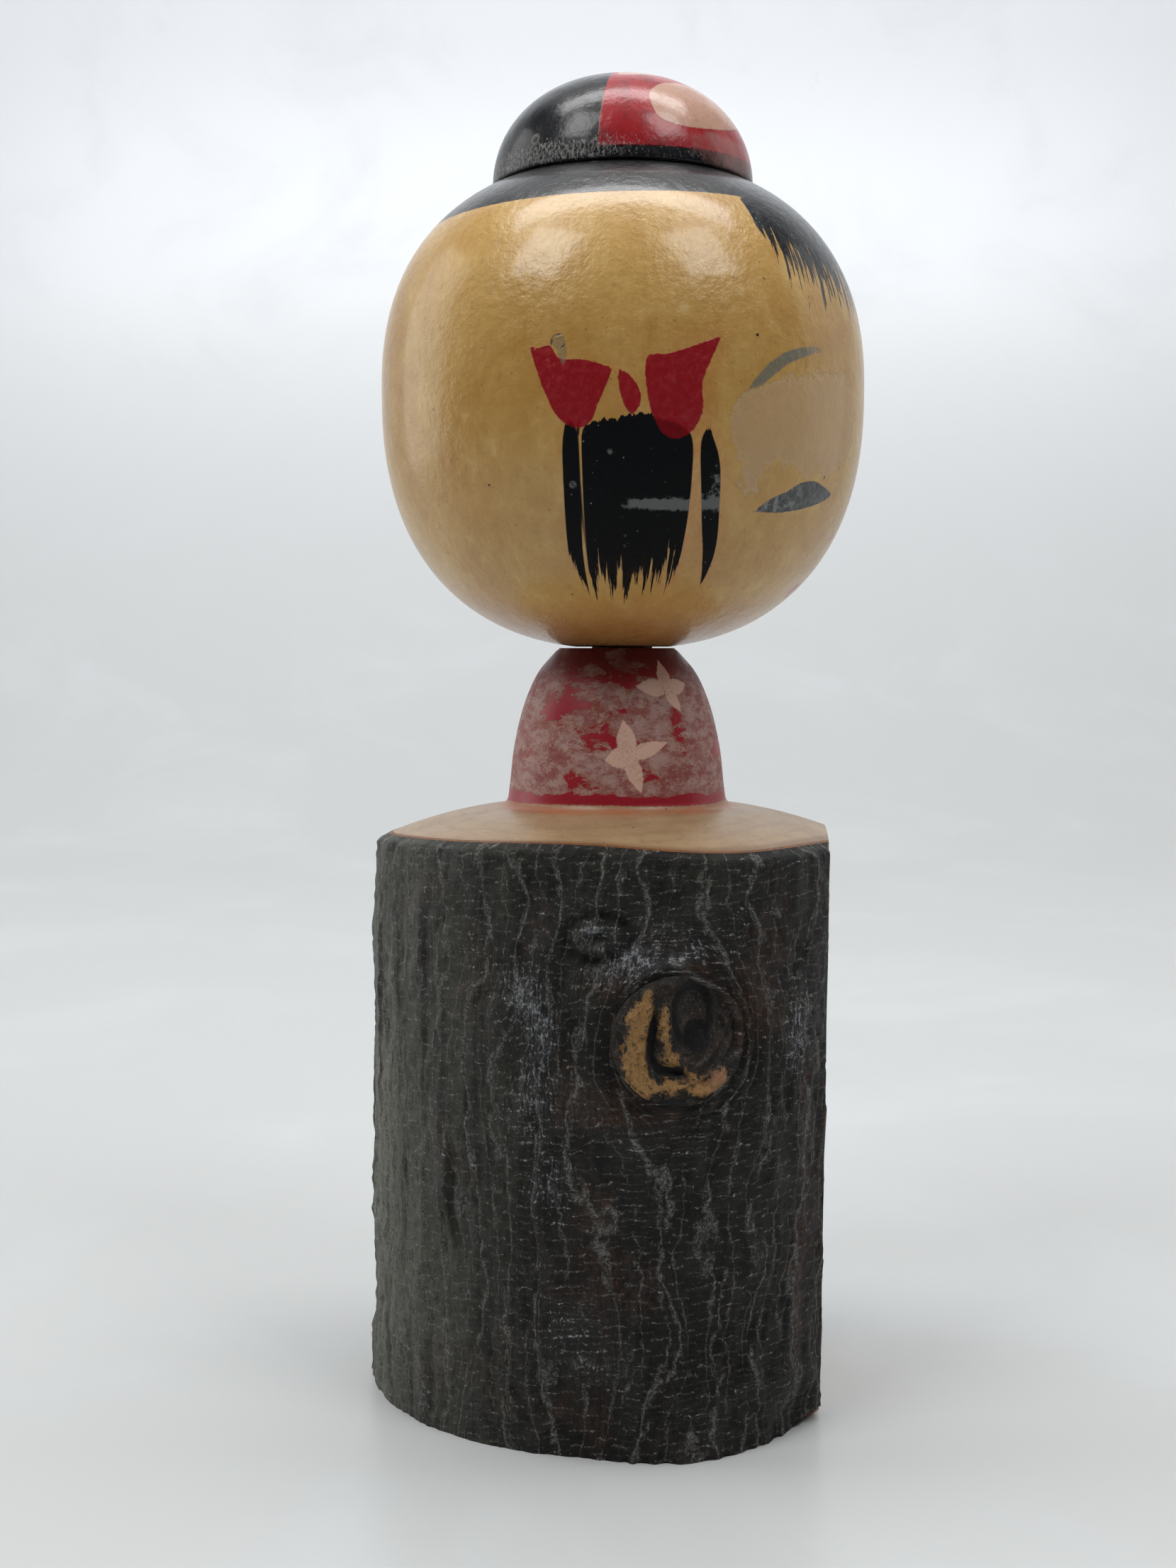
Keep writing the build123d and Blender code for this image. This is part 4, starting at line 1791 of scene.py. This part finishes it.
        piece = skin.make("branch_bark", DarkBark().build(), sharp=60.0)
        return placed(piece, Body.BASE, Slot.BARK, "bark")

    def _sheet(self, share: Array, rows: int, outside: bool) -> tuple[Array, Array, Array, Array]:
        """One face of the bark as a grid.

        Args:
            share: Place of each column between the two sawn corners.
            rows: Number of rows from the foot to the rim.
            outside: Whether this is the outer face.

        Returns:
            The points, and the heading, height and tone of each.
        """
        up = np.linspace(0, 1, rows)[:, None] + np.zeros(len(share))
        turn = share * 2 * pi + np.zeros_like(up)
        reach = np.full_like(up, self.trunk.mean_radius)
        height = up * self.trunk.shoulder
        tone = np.full_like(up, 0.2)
        for _ in range(4):
            first = self.trunk.corner(1.0, reach[:, :1])
            last = self.trunk.corner(-1.0, reach[:, -1:]) + 2 * pi
            turn = first + (last - first) * share
            reach = self.trunk.radius(turn)
            if outside:
                lift, tone = self.relief(turn, height)
                reach = reach + lift
            else:
                reach = reach - self.trunk.bark
            rim = self.trunk.rim_height(turn, reach)
            chip = self.chip * np.exp(-((turn - last) / self.chip_width) ** 2) * share**4
            height = chip + up * (rim - chip)
        if outside:
            short = np.clip(1 - (rim - height) / self.edge, 0, 1)
            reach = reach - self.edge * (1 - np.sqrt(1 - short**2))
            across, above = self.knot.local(turn, height)
            spread = np.hypot(across, above) * MM
            ragged = Relief(self.seed + 2).layer(
                turn / (2 * pi), height / self.trunk.shoulder, (64, 26)
            )
            spread = spread + 0.3 * MM * (1 + ragged)
            sink = step(spread, self.knot.radius + 0.1 * MM, self.knot.radius - 0.4 * MM)
            reach = reach * (1 - sink) + (self.trunk.radius(turn) - self.floor) * sink
        return self.trunk.at(turn, reach, height), turn, height, tone

    def _marks(self, heading: Array, height: Array, count: int) -> dict[str, Array]:
        """Pale bloom, tan patches, the brown of the cut ends, and the painted grazing sheen.

        Args:
            heading: Headings of the points, the outer face's first.
            height: Heights of the points.
            count: Number of points on the outer face.

        Returns:
            The marks.
        """
        across, up = self.knot.local(heading, height)
        spread = np.hypot(across, up)
        angle = np.degrees(np.arctan2(up, across))
        arcs = (
            blob(spread, angle, (10.4, 126.0), (1.5, 26.0))
            + 0.7 * blob(spread, angle, (8.4, 110.0), (0.9, 30.0))
        )
        bloom = 0.5 * arcs
        for place, size, much in self.blooms:
            bloom += much * blob(across, up, place, size)
        tan = np.zeros(heading.shape)
        for place, size, much in self.tans:
            tan += much * blob(across, up, place, size)
        place = np.arange(len(heading))
        column = place % self.columns
        from_end = np.minimum(column, self.columns - 1 - column).astype(float)
        cut = np.where(place >= count, step(from_end, 1.5, 0.0), 0.45 * step(from_end, 2.2, 0.4))
        # painted sheen of grazing light on the branch's side far left of the knot
        painted_sheen = (
            blob(across, up, (-42.0, -16.0), (8.0, 60.0))
            + 0.3 * blob(across, up, (-28.0, -16.0), (9.0, 60.0))
        )
        return {"bloom": bloom, "tan": np.clip(tan, 0, 1), "cut": cut, "painted_sheen": painted_sheen}


@dataclass
class Core:
    """The branch's wood: sawn foot and front, turned shoulder and bust, and the neck's bore."""

    trunk: Trunk
    bust_radius: float = 12.6 * MM
    fillet: float = 1.3 * MM
    top_edge: float = 0.3 * MM
    bore: float = 3.5 * MM
    bore_depth: float = 16.8 * MM
    paint_line: float = 68.3
    outline: Points = (
        (0.0, 1.0), (0.30, 0.953), (0.53, 0.888), (0.70, 0.812), (0.85, 0.709), (1.0, 0.535),
    )
    columns: int = 420
    side_rows: int = 14
    shoulder_rows: int = 44
    bust_rows: int = 110
    face: FaceMap = FaceMap()

    def __post_init__(self) -> None:
        """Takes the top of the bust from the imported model."""
        self.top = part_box("branch_core")[1].z

    def _headings(self) -> Array:
        """Even headings, with the two nearest to the sawn corners moved onto them.

        Returns:
            The headings.
        """
        heading = np.linspace(-pi, pi, self.columns, endpoint=False)
        depth = self.trunk.bark + self.trunk.bast
        for side in (-1.0, 1.0):
            corner = side * 0.4
            for _ in range(20):
                corner = float(self.trunk.corner(side, self.trunk.radius(np.array(corner)) - depth))
            heading[np.argmin(np.abs(heading - corner))] = corner
        return heading

    def _bust(self) -> Array:
        """(radius, height) up the foot's fillet and the bust's smooth side to its top edge.

        The side goes through the outline's points on a Catmull-Rom curve.

        Returns:
            The profile, in metres.
        """
        turn = np.linspace(pi / 2, 0, 10)
        centre = (self.bust_radius + self.fillet, self.trunk.shoulder + self.fillet)
        arc = np.stack(
            [centre[0] - self.fillet * np.cos(turn), centre[1] - self.fillet * np.sin(turn)], axis=1
        )
        knots = np.array(self.outline)
        low = centre[1]
        knots = np.stack(
            [knots[:, 1] * self.bust_radius, low + knots[:, 0] * (self.top - low)], axis=1
        )
        ends = np.concatenate(
            [[2 * knots[0] - knots[1] + (0.45 * MM, 0)], knots, [2 * knots[-1] - knots[-2]]]
        )
        share = np.linspace(0, 1, self.bust_rows // (len(knots) - 1), endpoint=False)
        side = catmull_rom(tuple(ends[i:len(ends) - 3 + i] for i in range(4)), share)
        side = side[side[:, 1] < self.top - self.top_edge]
        last = np.array([knots[-1, 0] - self.top_edge * 0.3, self.top])
        return np.concatenate([arc[:-1], side, [knots[-1] + (0.02 * MM, -0.14 * MM), last]])

    def build(self) -> bpy.types.Object:
        """The finished core, as rings from the foot's middle to the end of the neck bore.

        Returns:
            The core.
        """
        heading = self._headings()
        trunk = self.trunk
        reach = trunk.radius(heading) - trunk.bark - trunk.bast
        reach = np.where(
            np.abs(heading) < pi / 2, np.minimum(reach, trunk.flat() / np.cos(heading)), reach
        )
        rim = trunk.rim_height(heading, reach)
        rings = [self._foot(heading, reach), self._side(heading, reach, rim)]
        rings += [self._shoulder(heading, reach, rim), self._turned(heading)]
        grid = np.concatenate(rings)
        laid = np.stack(
            [np.broadcast_to(heading * trunk.mean_radius / MM, grid.shape[:2]), self._run(grid)],
            axis=-1
        )
        start = np.array([0, trunk.axis_back, 0])
        end = np.array([0, 0, self.top - self.bore_depth])
        skin = ringed_skin(grid, start, end, laid, 2 * pi * trunk.mean_radius / MM)
        skin.marks = self._marks(skin.points)
        piece = skin.make("turned_branch", TurnedWood().build(), sharp=35.0)
        return placed(piece, Body.BASE, Slot.WOOD, "branch_core")

    def _foot(self, heading: Array, reach: Array) -> Array:
        """Rings of the sawn underside."""
        share = np.array([0.35, 0.7])[:, None]
        return self.trunk.at(heading + 0 * share, reach * share, 0 * share + 0 * heading)

    def _side(self, heading: Array, reach: Array, rim: Array) -> Array:
        """Rings up the side, straight along the branch's lean."""
        share = np.linspace(0, 1, self.side_rows, endpoint=False)[:, None]
        return self.trunk.at(heading + 0 * share, reach + 0 * share, rim * share)

    def _shoulder(self, heading: Array, reach: Array, rim: Array) -> Array:
        """Rings over the shoulder, each point between the rim and the bust's foot.

        Args:
            heading: Headings of the columns.
            reach: Distance of the side from the centre line.
            rim: Height of the side's rim.

        Returns:
            The rings.
        """
        outer = self.trunk.at(heading, reach, rim)[:, :2]
        foot = direction(heading) * self.trunk.foot_radius + (0, self.trunk.axis_back)
        share = np.linspace(0, 1, self.shoulder_rows, endpoint=False)[:, None, None]
        flat = outer * (1 - share) + foot * share
        radius = np.hypot(flat[..., 0], flat[..., 1] - self.trunk.axis_back)
        return np.concatenate([flat, self.trunk.shoulder_height(radius)[..., None]], axis=-1)

    def _turned(self, heading: Array) -> Array:
        """Rings of the fillet and the bust about the lathe's axis, then down the neck bore.

        Args:
            heading: Headings of the columns.

        Returns:
            The rings.
        """
        bust = self._bust()
        flat = direction(heading) * bust[:, None, :1] + (0, self.trunk.axis_back)
        height = np.broadcast_to(bust[:, 1:2], flat.shape[:2])
        outside = np.concatenate([flat, height[..., None]], axis=-1)
        levels = np.array([self.top, self.top - self.bore_depth / 2, self.top - self.bore_depth])
        well = np.broadcast_to(direction(heading) * self.bore, (3, len(heading), 2))
        well = np.concatenate(
            [well, np.broadcast_to(levels[:, None, None], (3, len(heading), 1))], axis=-1
        )
        return np.concatenate([outside, well])

    def _run(self, grid: Array) -> Array:
        """Length along each column in millimetres, for the surface map."""
        steps = np.linalg.norm(np.diff(grid, axis=0), axis=-1)
        return np.concatenate([np.zeros((1, grid.shape[1])), np.cumsum(steps, axis=0)]) / MM

    def _marks(self, points: Array) -> dict[str, Array]:
        """Painted bust, flowers, wear, painted head shadow on top, stain at its foot and the darker
        rim.

        Args:
            points: Points of the core.

        Returns:
            The marks.
        """
        x, y, level = points[:, 0], points[:, 1] - self.trunk.axis_back, points[:, 2] / MM
        radius = np.hypot(x, y) / MM
        heading = np.arctan2(x, -y)
        around = self.face.around(heading)
        on_bust = radius < self.trunk.foot_radius / MM
        line_height = self.paint_line + 0.12 * np.sin(np.radians(around * 3))
        rim = radius - (self.trunk.radius(heading) - self.trunk.bark - self.trunk.bast) / MM
        petals, pollen = self._flowers(around, level)
        return {
            "paint": np.where(on_bust, level - line_height, -5.0),
            "petal": petals,
            "pollen": pollen,
            "wear": self._wear(around, level),
            # painted shadow that the head casts on the bust's top
            "shade": step(level, 80.5, 84.6) * 0.85,
            "stain": np.where(on_bust, step(level, 70.5, 68.0), 0)
            + step(radius, 16.0, 13.0) * (level < 68),
            "rim": step(rim, -0.9, -0.1) * (level > 50),
        }

    def _wear(self, around: Array, level: Array) -> Array:
        """Where the paint is rubbed: most of the bust, less at the neck, the foot and in islands.

        Args:
            around: Degrees from the face's middle.
            level: Heights in millimetres.

        Returns:
            The wear, highest where the paint is most rubbed.
        """
        islands = (
            ((-108.0, 79.8), (17.0, 2.2), 1.0), ((-86.0, 75.4), (15.0, 1.8), 0.9),
            ((-100.0, 71.0), (9.0, 1.0), 0.6), ((-62.0, 71.0), (9.0, 0.8), 0.6),
            ((-40.0, 76.0), (6.0, 2.6), 0.7), ((-74.0, 82.4), (14.0, 1.1), 0.8),
            ((60.0, 76.0), (20.0, 3.0), 0.8), ((140.0, 80.0), (24.0, 2.4), 0.8),
        )
        wear = 0.5 * step(level, 84.0, 81.0) - 0.25 * step(level, 82.8, 84.8)
        wear -= 1.6 * step(level, 69.7, 68.9) * (0.55 + 0.45 * np.cos(np.radians(around * 5)) ** 2)
        for centre, size, much in islands:
            turned = ((around - centre[0] + 180) % 360 - 180) + centre[0]
            wear -= 0.8 * much * blob(turned, level, centre, size)
        return wear

    def _flowers(self, around: Array, level: Array) -> tuple[Array, Array]:
        """Signed distance to the nearest petal, and how near a flower's middle is.

        A petal of length L is a leaf: its half width is W sin(pi (s / L)^0.8) at s along it.

        Args:
            around: Degrees from the face's middle.
            level: Heights in millimetres.

        Returns:
            The distances in millimetres, and the nearness from 0 to 1.
        """
        flowers = (
            (-69.5, 73.8, ((98, 4.1, 0.95), (190, 2.7, 1.0), (-72, 4.3, 0.75), (18, 4.9, 0.7))),
            (-42.5, 81.2, ((84, 3.2, 0.8), (176, 3.9, 0.85), (-62, 3.0, 0.6), (8, 3.4, 0.75))),
            (42.0, 75.6, ((84, 4.1, 0.9), (186, 3.7, 0.9), (-84, 4.2, 0.8), (12, 4.2, 0.8))),
            (74.0, 81.0, ((100, 3.3, 0.8), (190, 3.4, 0.8), (-70, 3.3, 0.7), (22, 3.5, 0.8))),
            (108.0, 74.0, ((88, 4.0, 0.9), (175, 3.8, 0.9), (-92, 3.9, 0.8), (5, 4.2, 0.8))),
            (152.0, 79.6, ((80, 3.7, 0.8), (170, 3.8, 0.8), (-75, 3.6, 0.7), (10, 3.8, 0.8))),
        )
        best = np.full(around.shape, -9.0)
        pollen = np.zeros(around.shape)
        for middle, height, petals in flowers:
            scale = radians(1) * (11.9 if height < 76 else 10.4)
            x = ((around - middle + 180) % 360 - 180) * scale
            y = level - height
            pollen = np.maximum(pollen, blob(x, y, (0.2, -0.3), (1.6, 1.5)))
            for angle, length, width in petals:
                along = x * cos(radians(angle)) + y * sin(radians(angle))
                beside = y * cos(radians(angle)) - x * sin(radians(angle))
                share = np.clip(along / length, 0, 1)
                leaf = width * np.sin(pi * share**0.8) + 0.25 * (1 - share)
                outside = np.maximum(-along, along - length)
                best = np.maximum(
                    best, np.where(outside > 0, -np.hypot(outside, beside), leaf - np.abs(beside))
                )
        return best, pollen


# Studio ------------------------------------------------------------------------------------------


@dataclass(frozen=True)
class Studio:
    """Camera, floor and soft lights round the doll."""

    heading: float = radians(-85.0)
    distance: float = 220.87 * MM
    eye_height: float = 85.8 * MM
    beside: float = 3.95 * MM
    pitch: float = radians(4.12)
    lens: float = 43.62
    sweep_start: float = 0.5
    sweep_radius: float = 0.5
    half_width: float = 1.6
    front_edge: float = 0.34
    aim_height: float = 0.115
    sky: Colour = (0.93, 0.96, 1.0, 1.0)
    sky_strength: float = 0.05

    def build(self) -> None:
        """Sets up everything that isn't part of the doll."""
        bpy.context.scene.view_settings.view_transform = "Standard"
        self._camera()
        self._backdrop()
        self._lights()
        self._world()

    def _axes(self) -> tuple[Array, Array]:
        """Unit vectors from the doll to the camera and to the camera's right."""
        towards = direction(np.array(self.heading))
        return towards, np.array([-towards[1], towards[0]])

    def _camera(self) -> None:
        """The camera, a little to the left of the neck's axis and looking slightly down."""
        towards, right = self._axes()
        spot = towards * self.distance - right * self.beside
        data = bpy.data.cameras.new("camera")
        data.lens = self.lens
        data.sensor_width = 36.0
        data.clip_start = 0.01
        camera = bpy.data.objects.new("camera", data)
        camera.location = (spot[0], spot[1], self.eye_height)
        camera.rotation_euler = (pi / 2 - self.pitch, 0, self.heading)
        bpy.context.scene.collection.objects.link(camera)
        bpy.context.scene.camera = camera

    def _backdrop(self) -> None:
        """Floor that sweeps up behind the doll: a straight run, a quarter circle and a wall."""
        towards, right = self._axes()
        turn = np.linspace(0, pi / 2, 24)
        run = np.concatenate(
            [[-self.front_edge], self.sweep_start + self.sweep_radius * np.sin(turn), [1.0]]
        )
        rise = np.concatenate([[0], self.sweep_radius * (1 - np.cos(turn)), [1.8]])
        across = np.linspace(-self.half_width, self.half_width, 9)
        flat = -towards * run[:, None, None] + right * across[None, :, None]
        height = np.broadcast_to(rise[:, None, None], flat.shape[:2] + (1,))
        points = np.concatenate([flat, height], axis=-1).reshape(-1, 3)
        quads = grid_quads(len(run), len(across), False)
        laid = points[:, :2] / MM
        skin = Skin(points, quads, np.zeros((0, 3), int), laid, NO_SEAM)
        skin.make("studio_floor", StageFinish().build())

    def _lights(self) -> None:
        """Two window-like panels up in front, one overhead, one each side and one on the wall."""
        self._panel("window_left", -49.0, 50.0, 0.62, (0.24, 0.28), 1.5)
        self._panel("window_right", 47.0, 50.0, 0.62, (0.24, 0.28), 1.3)
        self._panel("overhead", 180.0, 84.0, 1.1, (1.2, 1.2), 1.9)
        self._panel("side_left", -108.0, 12.0, 0.9, (0.5, 0.9), 2.4)
        self._panel("side_right", 108.0, 12.0, 0.9, (0.5, 0.9), 1.0)
        self._panel("backdrop_wash", 0.0, 50.0, 1.5, (1.4, 0.5), 15.5, 1.1)

    def _panel(
        self,
        name: str,
        turn: float,
        lift: float,
        distance: float,
        size: tuple[float, float],
        power: float,
        behind: float = 0.0,
    ) -> None:
        """One soft light panel.

        Args:
            name: The light's name.
            turn: Degrees round from the camera, towards its right.
            lift: Degrees above level.
            distance: From the spot that it is aimed at.
            size: Width and height.
            power: Watts.
            behind: How far behind the doll that spot is.
        """
        data = bpy.data.lights.new(name, "AREA")
        data.shape = "RECTANGLE"
        data.size, data.size_y = size
        data.energy = power
        lamp = bpy.data.objects.new(name, data)
        flat = direction(np.array(self.heading + radians(turn))) * cos(radians(lift)) * distance
        flat = flat - self._axes()[0] * behind
        height = self.aim_height + sin(radians(lift)) * distance
        lamp.location = (flat[0], flat[1], height)
        lamp.rotation_euler = (pi / 2 - radians(lift), 0, self.heading + radians(turn))
        bpy.context.scene.collection.objects.link(lamp)

    def _world(self) -> None:
        """Even pale light from all round."""
        world = bpy.data.worlds.new("soft_light")
        world.use_nodes = True
        ground = world.node_tree.nodes["Background"]
        ground.inputs["Color"].default_value = self.sky
        ground.inputs["Strength"].default_value = self.sky_strength
        bpy.context.scene.world = world


def placed(piece: bpy.types.Object, body: Body, slot: Slot, *nodes: str) -> bpy.types.Object:
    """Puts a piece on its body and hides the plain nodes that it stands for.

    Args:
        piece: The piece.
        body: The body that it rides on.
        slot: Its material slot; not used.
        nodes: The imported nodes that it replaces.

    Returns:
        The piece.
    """
    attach(piece, body.value)
    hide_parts(*nodes)
    log.info("%s: %d faces", piece.name, len(piece.data.polygons))
    return piece


def dress(node: str, material: bpy.types.Material) -> None:
    """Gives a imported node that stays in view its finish.

    Args:
        node: The node's name.
        material: Its finish.
    """
    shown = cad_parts[node]
    for place in shown.material_slots:
        place.material = material
    log.info("%s: dressed in %s", node, material.name)


def write_sizes() -> None:
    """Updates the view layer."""
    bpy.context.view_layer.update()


def main() -> None:
    """Builds the studio and the doll's pieces in order."""
    logging.basicConfig(level=logging.INFO, format="%(name)s: %(message)s")
    Studio().build()
    trunk = Trunk()
    knot = Knot(trunk)
    Core(trunk).build()
    Bark(trunk, knot).build()
    knot.build()
    Head().build()
    Topknot().build()
    dowel = PlainWood("dowel_wood", paint(206, 178, 134), paint(176, 140, 94)).build()
    bast = PlainWood("brown_bast", paint(132, 86, 48), paint(92, 56, 30), 0.55).build()
    dress("neck_peg", dowel)
    dress("topknot_peg", dowel)
    dress("inner_bark", bast)
    write_sizes()


if __name__ == "__main__":
    main()
